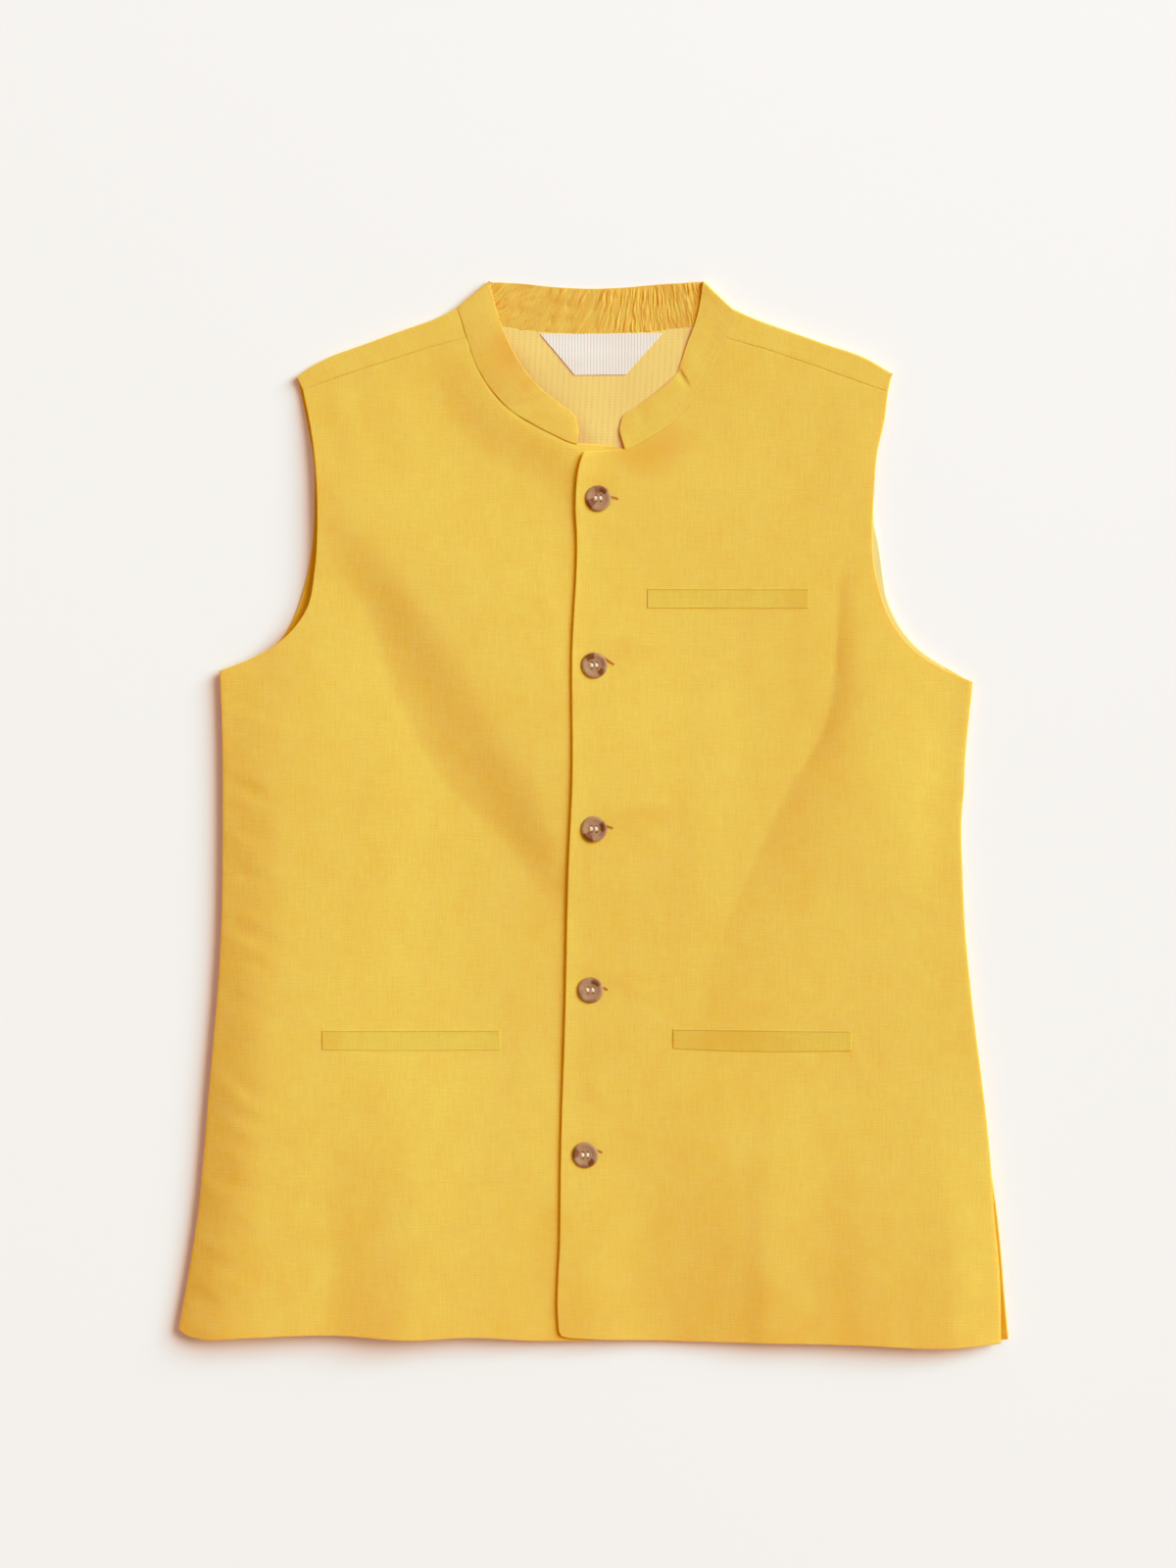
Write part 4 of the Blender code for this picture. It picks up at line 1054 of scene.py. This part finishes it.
turn_right = shoulder_turn(SHOULDER_FOLD_RIGHT, SHOULDER_SEAM_RIGHT)
turn_left = shoulder_turn(SHOULDER_FOLD_LEFT, SHOULDER_SEAM_LEFT)
back_top = np.vstack([turn_right[0, :, :2], neck_back[3:-3], turn_left[0, :, :2]])
back_flat = panel(
    BACK_HEM, back_top,
    panel_side(BACK_SIDE_RIGHT, (*BACK_ARMHOLE_RIGHT, tuple(back_top[0])), *BACK_CELLS),
    panel_side(BACK_SIDE_LEFT, (*BACK_ARMHOLE_LEFT, tuple(back_top[-1])), *BACK_CELLS), rolled_up)
back = join("back_cloth", [grid_piece("back_flat", back_flat, plan(back_flat))] + [
    grid_piece("yoke", rows, cloth_lengths(rows)) for rows in (turn_right, turn_left)])
back.data.flip_normals()
walled(back, BACK_WALL, back_linen, inner=between_layers)

# %% [markdown]
# ## The lining
# The lining shows inside the neck and as a thin line in one armhole. It is one plain grid.

# %% Make the lining
LINING_SHOULDER_CELLS, LINING_CELLS = 30, (90, 50)

between = (neck_back[:, 0] > LINING_SHOULDER_RIGHT[-1][0]) & (
    neck_back[:, 0] < LINING_SHOULDER_LEFT[0][0])
lining_top_edge = np.vstack([
    spread(smooth(LINING_SHOULDER_RIGHT), LINING_SHOULDER_CELLS, RIM), neck_back[between],
    spread(smooth(LINING_SHOULDER_LEFT), LINING_SHOULDER_CELLS, None, RIM)])
lining_rows = panel(LINING_HEM, lining_top_edge,
                    panel_side(LINING_SIDE_RIGHT, LINING_ARMHOLE_RIGHT, *LINING_CELLS),
                    panel_side(LINING_SIDE_LEFT, LINING_ARMHOLE_LEFT, *LINING_CELLS), lining_top)
lining = flat_cloth("back_lining_cloth", lining_rows, LINING_WALL, lining_cloth)

# %% [markdown]
# ## The fronts
# Each front is one grid of cells about 2.5 mm wide, fine enough for its smallest puckers. Its
# edges are the side seam, the armhole, the shoulder seam, the neck and the front edge, and its
# heights come from the fold tables. The left front laps over the right one at the placket.

# %% Make the fronts
SIDE_CELLS, ARMHOLE_CELLS, SHOULDER_CELLS, NECK_CELLS, CORNER_CELLS = 186, 86, 58, 44, 12
SEAM_DITCH = 0.45                               # how far the collar's stitches pull a front down

right_side = panel_side(SIDE_RIGHT, ARMHOLE_RIGHT, SIDE_CELLS, ARMHOLE_CELLS)
right_top = joined(
    spread(smooth(SHOULDER_SEAM_RIGHT), SHOULDER_CELLS, RIM),
    spread(neck_right, NECK_CELLS),
    spread(smooth((tuple(neck_right[-1]), UNDERLAP[-1])), CORNER_CELLS, None, RIM))
right_rows = panel(HEM_RIGHT, right_top, right_side,
                   at_shares(smooth(UNDERLAP), shares_of(right_side, 1)), right_front_top)
right_rows[-2:, SHOULDER_CELLS + 2:-CORNER_CELLS, 2] -= SEAM_DITCH

left_side = panel_side(SIDE_LEFT, ARMHOLE_LEFT, SIDE_CELLS, ARMHOLE_CELLS)
left_top = joined(
    spread(smooth((PLACKET[-1], tuple(neck_left[0]))), CORNER_CELLS, RIM),
    spread(neck_left, NECK_CELLS),
    spread(smooth(SHOULDER_SEAM_LEFT), SHOULDER_CELLS, None, RIM))
left_rows = panel(HEM_LEFT, left_top, at_shares(smooth(PLACKET), shares_of(left_side, 1)),
                  left_side, left_front_top)
left_rows[-2:, CORNER_CELLS:-SHOULDER_CELLS - 2, 2] -= SEAM_DITCH / 2

front_right = flat_cloth("front_right_cloth", right_rows, FRONT_WALL, front_linen)
front_left = flat_cloth("front_left_cloth", left_rows, FRONT_WALL, front_linen)

# %% [markdown]
# ## Welts and the neck label
# A welt is the narrow strip that finishes a pocket's mouth. It lies on the front and follows
# it, so it is made from the front's own heights, moved out by its thickness. The woven label
# in the neck lies on the lining in the same way. It is left blank.

# %% Make the welts and the label
WELTS = {
    # left edge, right edge, height of the top seam at each, sag of the lower edge
    "chest_welt": (37.8, 151.0, 158.4, 158.4, 0.0),
    "pocket_welt_right": (-190.2, -65.6, -151.3, -151.8, 0.4),
    "pocket_welt_left": (55.8, 181.1, -150.8, -152.3, 1.4)}
WELT_HEIGHT, WELT_WALL, WELT_PROUD = 14, 0.6, 0.5
LABEL = ((-37.8, 337.4), (-13.5, 308.2), (22.6, 308.6), (48.6, 338.0))  # round from its top left
LABEL_WALL, LABEL_SPACE = 0.6, 0.1


def end_shares(cells, rim):
    """Shares from 0 to 1 with a narrow cell at each end."""
    return np.concatenate([[0.0], np.linspace(rim, 1 - rim, cells), [1.0]])


def welt_place(name, across, up):
    """The x and y of a place on a welt, by its shares across and up."""
    left, right, left_top, right_top, sag = WELTS[name]
    y = left_top + (right_top - left_top) * across - WELT_HEIGHT * (1 - up)
    return left + (right - left) * across, y - sag * (1 - up) * np.sin(pi * across)


def front_under(name):
    """The front that a welt lies on, and its height."""
    if "right" in name:
        return "front_right", right_front_top
    return "front_left", left_front_top


for name in WELTS:
    node, front_top = front_under(name)
    x, y = welt_place(name, *np.meshgrid(end_shares(60, 0.004), end_shares(8, 0.035)))
    rows = np.dstack([x, y, front_top(x, y) + WELT_PROUD])
    welt = flat_cloth(name + "_cloth", rows, WELT_WALL, welt_linen)
    cloth_is(welt, name, "shell_cloth", (0.130, 0.0165), [node], rows)

across, up = np.meshgrid(end_shares(36, 0.01), end_shares(14, 0.02))
corners = np.array(LABEL)
low = corners[1] + (corners[2] - corners[1]) * across[..., None]
high = corners[0] + (corners[3] - corners[0]) * across[..., None]
label_rows = laid(low + (high - low) * up[..., None],
                  lambda x, y: lining_top(x, y) + LABEL_SPACE + LABEL_WALL)
label = flat_cloth("label_tape_piece", label_rows, LABEL_WALL, tape_weave)

# %% Say which solids the cloth stands for
cloth_is(back, "back", "shell_cloth", (0.592, 0.760), ["surface"],
         back_flat, turn_right, turn_left)
cloth_is(lining, "back_lining", "lining_cloth", (0.560, 0.705), ["back"], lining_rows)
cloth_is(front_right, "front_right", "shell_cloth", (0.316, 0.710), ["back_lining"], right_rows)
cloth_is(front_left, "front_left", "shell_cloth", (0.322, 0.715),
         ["front_right", "back_lining"], left_rows)
cloth_is(collar, "collar", "shell_cloth", (0.036, 0.560),
         ["back", "back_lining", "front_left", "front_right"], collar_rows)
cloth_is(label, "label", "label_tape", (0.088, 0.031), ["back_lining"], label_rows)

# %% [markdown]
# ## Horn buttons
# A horn button is turned from a plate of horn. It has a rim, a dished middle and four holes, and
# its grain shows as dark clouds, no two alike. One button is shaped from a cylinder by inset
# and move, its holes are cut with a boolean, and the other four are copies with their own mesh.

# %% Shape one button
BUTTON_RADIUS, BUTTON_SIDES, HOLE_RADIUS, HOLE_SIDES, HOLE_SPREAD = 9.15, 72, 0.95, 24, 1.7
DRILL_LENGTH = 9
PLATE, PLATE_MIDDLE = 0.8, 1.5                  # thickness and height of the plate it starts as
# width and rise of each ring of the face, from the outside in, and of the chamfer below
FACE_RINGS = ((0.35, 0.50), (0.75, 0.40), (0.95, 0.08), (0.9, -0.18), (1.3, -0.34), (2.4, -0.10))
CHAMFER = (2.2, -1.1)


def step_in(piece, upwards, rings):
    """In edit mode, inset the face that looks up or down, ring by ring."""
    bpy.ops.mesh.select_all(action="DESELECT")
    bpy.ops.object.mode_set(mode="OBJECT")
    for face in piece.data.polygons:
        face.select = face.normal.z * upwards > 0.9
    bpy.ops.object.mode_set(mode="EDIT")
    for width, rise in rings:
        bpy.ops.mesh.inset(thickness=width * MM)
        bpy.ops.transform.translate(value=(0, 0, rise * MM))


def first_button():
    """A dished disc with a raised rim and four holes, centred on its own origin."""
    select()
    bpy.ops.mesh.primitive_cylinder_add(vertices=BUTTON_SIDES, radius=BUTTON_RADIUS * MM,
                                        depth=PLATE * MM, location=(0, 0, PLATE_MIDDLE * MM))
    bpy.ops.object.transform_apply()
    button = bpy.context.object
    bpy.ops.object.mode_set(mode="EDIT")
    bpy.ops.mesh.select_mode(type="FACE")
    step_in(button, 1, FACE_RINGS)
    step_in(button, -1, (CHAMFER,))
    bpy.ops.object.mode_set(mode="OBJECT")
    finish_with(button, "BEVEL", width=0.22 * MM, segments=3, limit_method="ANGLE",
                angle_limit=radians(9), use_clamp_overlap=True)
    drills = []
    for side, row in ((1, 1), (-1, 1), (-1, -1), (1, -1)):
        select()
        bpy.ops.mesh.primitive_cylinder_add(
            vertices=HOLE_SIDES, radius=HOLE_RADIUS * MM, depth=DRILL_LENGTH * MM,
            location=(side * HOLE_SPREAD * MM, row * HOLE_SPREAD * MM, 0))
        bpy.ops.object.transform_apply()
        drills.append(bpy.context.object)
    drill = join("drill", drills)
    finish_with(button, "BOOLEAN", operation="DIFFERENCE", solver="EXACT", object=drill)
    bpy.data.objects.remove(drill)
    select(button)
    bpy.ops.object.shade_smooth_by_angle(angle=radians(38))
    return button


pattern_button = first_button()
print("button:", len(pattern_button.data.polygons), "faces")

# %% [markdown]
# Horn is a mix of warm brown and translucent pale layers. The finish draws fine rings from the
# turning, a pinkish cast in the middle and dark clouds at given angles, so each button gets
# its own. A cloud's edge is broken up with noise, or it would look painted.

# %% Horn
HORN_CLOUDS = (
    # angle, half width in degrees, inner radius, strength
    ((58, 20, 4.2, 1.0), (90, 24, 3.4, 0.6), (212, 26, 3.4, 1.0)),
    ((120, 24, 4.4, 1.0), (-42, 18, 4.8, 1.0), (18, 20, 5.8, 0.5)),
    ((14, 24, 4.2, 1.0), (234, 28, 3.8, 1.0), (-30, 14, 5.5, 0.4)),
    ((55, 24, 4.4, 0.9), (200, 16, 5.2, 0.5), (275, 24, 6.4, 0.6)),
    ((170, 22, 4.4, 0.9), (-54, 20, 4.6, 1.0), (-85, 18, 6.2, 0.6)))


def horn(name, centre, clouds):
    """Turned horn with dark clouds round a centre."""
    made = Finish(name)
    place = made.node("ShaderNodeMapping", {}, {
        "Vector": made.here(), "Location": (-centre[0] * MM, -centre[1] * MM, 0.0)})
    x, y = made.axes(place)
    radius = (x * x + y * y) ** 0.5
    noise = made.grain(place, 3.2, 3.2, centre[1] / 10.0, 4.0)
    fine = made.grain(place, 1.1, 1.1, centre[1] / 7.0, 3.0)
    rings = (radius * 4.6 + noise * 1.2).sine()
    pink = (1.0 - (radius + noise * 2.5).rise(3.5, 8.0)) * 0.8
    shown = made.mix(noise, tint(0.165, 0.148, 0.068), tint(0.262, 0.242, 0.122))
    shown = made.mix(pink * 0.4, shown, tint(0.180, 0.138, 0.088))
    shown = made.mix(rings * 0.14 + 0.12, shown, tint(0.36, 0.34, 0.20))
    for angle, width, inner, strength in clouds:
        turn, edge = radians(angle), cos(radians(width))
        facing = (x * cos(turn) + y * sin(turn)) / (radius + 0.01)
        cloud = (facing + (noise - 0.5) * 0.25).rise(edge - 0.08, edge + 0.04)
        cloud = cloud * (radius + (noise - 0.5) * 3.0).rise(inner - 1.0, inner + 1.2)
        shown = made.mix(cloud * (strength * 0.95), shown, tint(0.085, 0.036, 0.014))
    rim = (radius + (noise - 0.5) * 0.8).rise(8.2, 8.9)
    shown = made.mix(rim * 0.35, shown, tint(0.32, 0.30, 0.17))
    return made.show(shown, 0.42 + noise * 0.2, rings * 0.3 + fine * 0.3, 0.05,
                     IOR=1.5, Specular_IOR_Level=0.4)


print("clouds on each button:", [len(clouds) for clouds in HORN_CLOUDS])

# %% Rest the buttons on the cloth and sew them on
RESTS_AT, SUNK = 7.2, 1.1           # radius at which a button touches the cloth, and its sinking
BAR_LENGTH, BAR_RADIUS, BAR_DIP = 4.4, 0.36, 1.3
BAR_ASIDE, BAR_SPACE, BAR_HEIGHT, BAR_CROWN, BAR_LEAN = 1.75, 0.62, 2.25, 0.14, 0.05


def copy_of(piece, name, move, turn=0.0):
    """A copy with its own mesh, turned about its own origin and moved, in millimetres."""
    made = piece.copy()
    made.data = piece.data.copy()
    made.name = made.data.name = name
    bpy.context.collection.objects.link(made)

    def placed(points):
        x, y, z = points.T
        return np.column_stack([x * cos(turn) - y * sin(turn), x * sin(turn) + y * cos(turn),
                                z]) + move

    moved_points(made, placed)
    return made


def first_strand(length, radius, sink=0.0):
    """One strand of thread: a thin rounded bar along y whose ends dip."""
    select()
    bpy.ops.mesh.primitive_uv_sphere_add(segments=10, ring_count=12, radius=radius * MM)
    bpy.ops.object.mode_set(mode="EDIT")
    bpy.ops.mesh.select_all(action="SELECT")
    bpy.ops.transform.resize(value=(1.0, length / (2 * radius), 1.0))
    bpy.ops.object.mode_set(mode="OBJECT")
    bpy.ops.object.shade_smooth()
    strand = bpy.context.object
    moved_points(strand, lambda p: np.column_stack(
        [p[:, 0], p[:, 1], p[:, 2] - sink * (2 * p[:, 1] / length) ** 2]))
    return strand


strand = first_strand(BAR_LENGTH, BAR_RADIUS, BAR_DIP)
strand.data.materials.append(cream_thread)
ring = np.linspace(0, 2 * pi, 24, endpoint=False)
button_rests = []
for number, (x, y) in enumerate(BUTTONS, 1):
    rest = left_front_top(x + RESTS_AT * np.cos(ring), y + RESTS_AT * np.sin(ring)).max() - SUNK
    button = copy_of(pattern_button, f"horn_button_{number}", (x, y, rest))
    button.data.materials.clear()
    button.data.materials.append(horn(f"horn_{number}", (x, y), HORN_CLOUDS[number - 1]))
    bars = [copy_of(strand, "bar",
                    (x + side * BAR_ASIDE + lean * BAR_SPACE, y,
                     rest + BAR_HEIGHT + BAR_CROWN * (lean == 0)), lean * side * BAR_LEAN)
            for side in (-1, 1) for lean in (-1, 0, 1)]
    trim_is(button)
    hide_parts(f"button_{number}")
    trim_is(join(f"sewing_thread_{number}", bars))
    button_rests.append(round(float(rest), 2))
bpy.data.objects.remove(pattern_button)
bpy.data.objects.remove(strand)
print("the buttons rest at", button_rests, "mm")

# %% [markdown]
# ## Buttonholes and stitches
# Each button hides most of its buttonhole. Its end shows as a short slit with a whipped edge
# beside the button; the slit's darkness is painted shade, a flat dark disc inside the edge. The
# hand stitches of the welts, the collar and the shoulder seams are short bars of thread, half
# sunk into the cloth. One is modelled, and every row is made of copies.

# %% Make the buttonholes
# x and y of a place on the hole's line, and of its end, for each button from the top down
TAILS = ((13.2, 222.3, 17.1, 221.1), (9.3, 107.9, 14.2, 104.6), (8.9, -8.4, 13.4, -10.2),
         (6.0, -121.8, 9.7, -123.7), (3.2, -236.6, 6.0, -237.8))
UNDER_BUTTON = 5.5                  # where the slit starts, from the button's middle
WHIP_RADIUS, WHIP_WALL, SLIT_RADIUS, SLIT_HEIGHT = 0.62, 0.26, 0.55, 0.3
END_INSET, FLATTENED, PROUD = 0.6, 0.8, 0.02


def make_buttonhole(number, x, y, end_x, end_y):
    """A ring of whipped thread drawn out into a long hole, and inside it a dark disc of painted
    shade for the slit.
    """
    turn = atan2(end_y - y, end_x - x)
    stretch = (end_x - (BUTTONS[number - 1][0] + UNDER_BUTTON)) / cos(turn)

    def drawn_out(points):
        px, py, pz = points.T
        px = np.where(px > 0, px, px - stretch) - END_INSET
        wx, wy = end_x + px * cos(turn) - py * sin(turn), end_y + px * sin(turn) + py * cos(turn)
        return np.column_stack([wx, wy, pz * FLATTENED + left_front_top(wx, wy) + PROUD])

    select()
    bpy.ops.mesh.primitive_torus_add(major_segments=48, minor_segments=10,
                                     major_radius=WHIP_RADIUS * MM, minor_radius=WHIP_WALL * MM)
    bpy.ops.object.shade_smooth()
    whipping = bpy.context.object
    select()
    bpy.ops.mesh.primitive_cylinder_add(vertices=32, radius=SLIT_RADIUS * MM,
                                        depth=SLIT_HEIGHT * MM)
    slit = bpy.context.object
    # the slit is a dark disc of painted shade, in the dark thread's colour
    for piece, name, material in ((whipping, "buttonhole", brown_thread),
                                  (slit, "buttonhole_slit_shade", dark_thread_and_slit_shade)):
        piece.name = piece.data.name = f"{name}_{number}"
        moved_points(piece, drawn_out)
        piece.data.materials.append(material)
        trim_is(piece)


for number, tail in enumerate(TAILS, 1):
    make_buttonhole(number, *tail)
print("buttonholes:", len(TAILS))

# %% Make the rows of stitches
STITCHES_UP = 0.93                  # the welts' stitches, as a share of the welt's height


def stitch_row(name, line, height, material, pitch, length, radius):
    """Copies of one stitch along a line, half sunk into the cloth."""
    stitch = first_strand(length, radius)
    points = spread(line, round(length_along(line)[-1] / pitch))
    way = np.gradient(points, axis=0)
    copies = [copy_of(stitch, "stitch", (x, y, float(height(x, y))), atan2(-dx, dy))
              for (x, y), (dx, dy) in zip(points, way)]
    bpy.data.objects.remove(stitch)
    row = join(name, copies, merge=None)
    row.data.materials.append(material)
    trim_is(row)
    print(name + ":", len(copies))


for name in WELTS:
    share = np.linspace(0.012, 0.988, 60)
    stitch_row(name + "_stitches",
               np.column_stack(welt_place(name, share, np.full(60, STITCHES_UP))),
               lambda x, y, top=front_under(name)[1]: top(x, y) + WELT_PROUD + PROUD,
               dark_thread_and_slit_shade, pitch=1.3, length=0.75, radius=0.25)
felled = np.array(COLLAR_BACK)
stitch_row("collar_felling", moved_right(back_run[4:-4, :2], -0.9),
           lambda x, y: np.interp(x, felled[:, 0], felled[:, 4]) + 0.25,
           gold_thread, pitch=1.7, length=1.0, radius=0.26)
stitch_row("neck_stitches", moved_right(half_left[4 * HALF_STEPS:, :2], -0.7)[::-1],
           lambda x, y: left_front_top(x, y) - 0.22,
           dark_thread_and_slit_shade, pitch=1.3, length=0.6, radius=0.2)
for side, seam in (("right", SHOULDER_SEAM_RIGHT), ("left", SHOULDER_SEAM_LEFT)):
    stitch_row(f"shoulder_stitches_{side}", smooth(seam)[4:-4],
               lambda x, y: yoke_top(x, y) - PROUD,
               dark_thread_and_slit_shade, pitch=1.9, length=0.7, radius=0.13)

# %% [markdown]
# ## Table, light and camera
# The jacket lies on a pale table and is seen from straight above through a long lens. A broad
# soft sun from the right is low enough to draw the folds, a weak one lower still picks out the
# puckers, a disc of light washes over the collar's end, and the world fills in the rest.

# %% Table
pale = Finish("pale_table")
spot = pale.here()
cloudy = pale.grain(spot, 900, 900, 2.0, 1.0)
fine = pale.grain(spot, 2, 2, 5.0, 2.0)
table_finish = pale.show(
    pale.mix(cloudy, tint(0.845, 0.833, 0.832), tint(0.875, 0.863, 0.862)), 0.85, fine, 0.01,
    Specular_IOR_Level=0.2)
select()
bpy.ops.mesh.primitive_plane_add(size=40.0, location=(0, 0, -0.1 * MM))
table = bpy.context.object
table.name = "table_top"
table.data.materials.append(table_finish)
print("table:", round(table.dimensions.x), "m wide")

# %% Light
KEY_TURN, KEY_RISE, RAKE_RISE = radians(27), radians(36), radians(16)
LIGHTS = {
    "key": ("SUN", (0, 0, 0), (0, pi / 2 - KEY_RISE, KEY_TURN),
            {"energy": 3.70, "angle": radians(42), "color": (1.0, 0.99, 0.985)}),
    "rake": ("SUN", (0, 0, 0), (0, pi / 2 - RAKE_RISE, KEY_TURN),
             {"energy": 0.55, "angle": radians(12)}),
    "wash": ("AREA", (0.35, 1.45, 1.25), (radians(-49), 0, radians(-13)),
             {"shape": "DISK", "size": 1.2, "energy": 2.4})}
for name, (kind, place, turn, settings) in LIGHTS.items():
    light = bpy.data.lights.new(name, kind)
    for setting, value in settings.items():
        setattr(light, setting, value)
    lamp = bpy.data.objects.new(name, light)
    lamp.location, lamp.rotation_euler = place, turn
    bpy.context.collection.objects.link(lamp)

world = bpy.data.worlds.new("studio")
bpy.context.scene.world = world
world.use_nodes = True
fill_light = world.node_tree.nodes["Background"]
fill_light.inputs["Color"].default_value = tint(1.0, 0.982, 0.965)
fill_light.inputs["Strength"].default_value = 0.29
print("lights:", ", ".join(LIGHTS), "and the world")

# %% Look of the print and camera
# A print holds back the reds of a bright yellow and deepens the blues of its shade, so a fold
# goes from yellow to orange instead of brown. One curve for each does the same.
TONES = {0: ((0.10, 0.17), (0.20, 0.36), (0.30, 0.485), (0.40, 0.58), (0.55, 0.70), (0.70, 0.795),
             (0.82, 0.845)),
         2: ((0.035, 0.010), (0.06, 0.046), (0.10, 0.095), (0.30, 0.21), (0.42, 0.34),
             (0.645, 0.58))}
view = bpy.context.scene.view_settings
view.view_transform = "Standard"
view.use_curve_mapping = True
for channel, places in TONES.items():
    for place in places:
        view.curve_mapping.curves[channel].points.new(*place)
view.curve_mapping.update()

CAMERA_HEIGHT, FRAME_HEIGHT, SENSOR = 2.5, 1.104, 36.0
eye = bpy.data.cameras.new("eye")
eye.sensor_fit, eye.sensor_height = "VERTICAL", SENSOR
eye.lens = SENSOR * CAMERA_HEIGHT / FRAME_HEIGHT
camera = bpy.data.objects.new("eye", eye)
camera.location = (-4.0 * MM, 21.0 * MM, CAMERA_HEIGHT)
bpy.context.collection.objects.link(camera)
bpy.context.scene.camera = camera
print("camera lens:", round(eye.lens, 1), "mm")
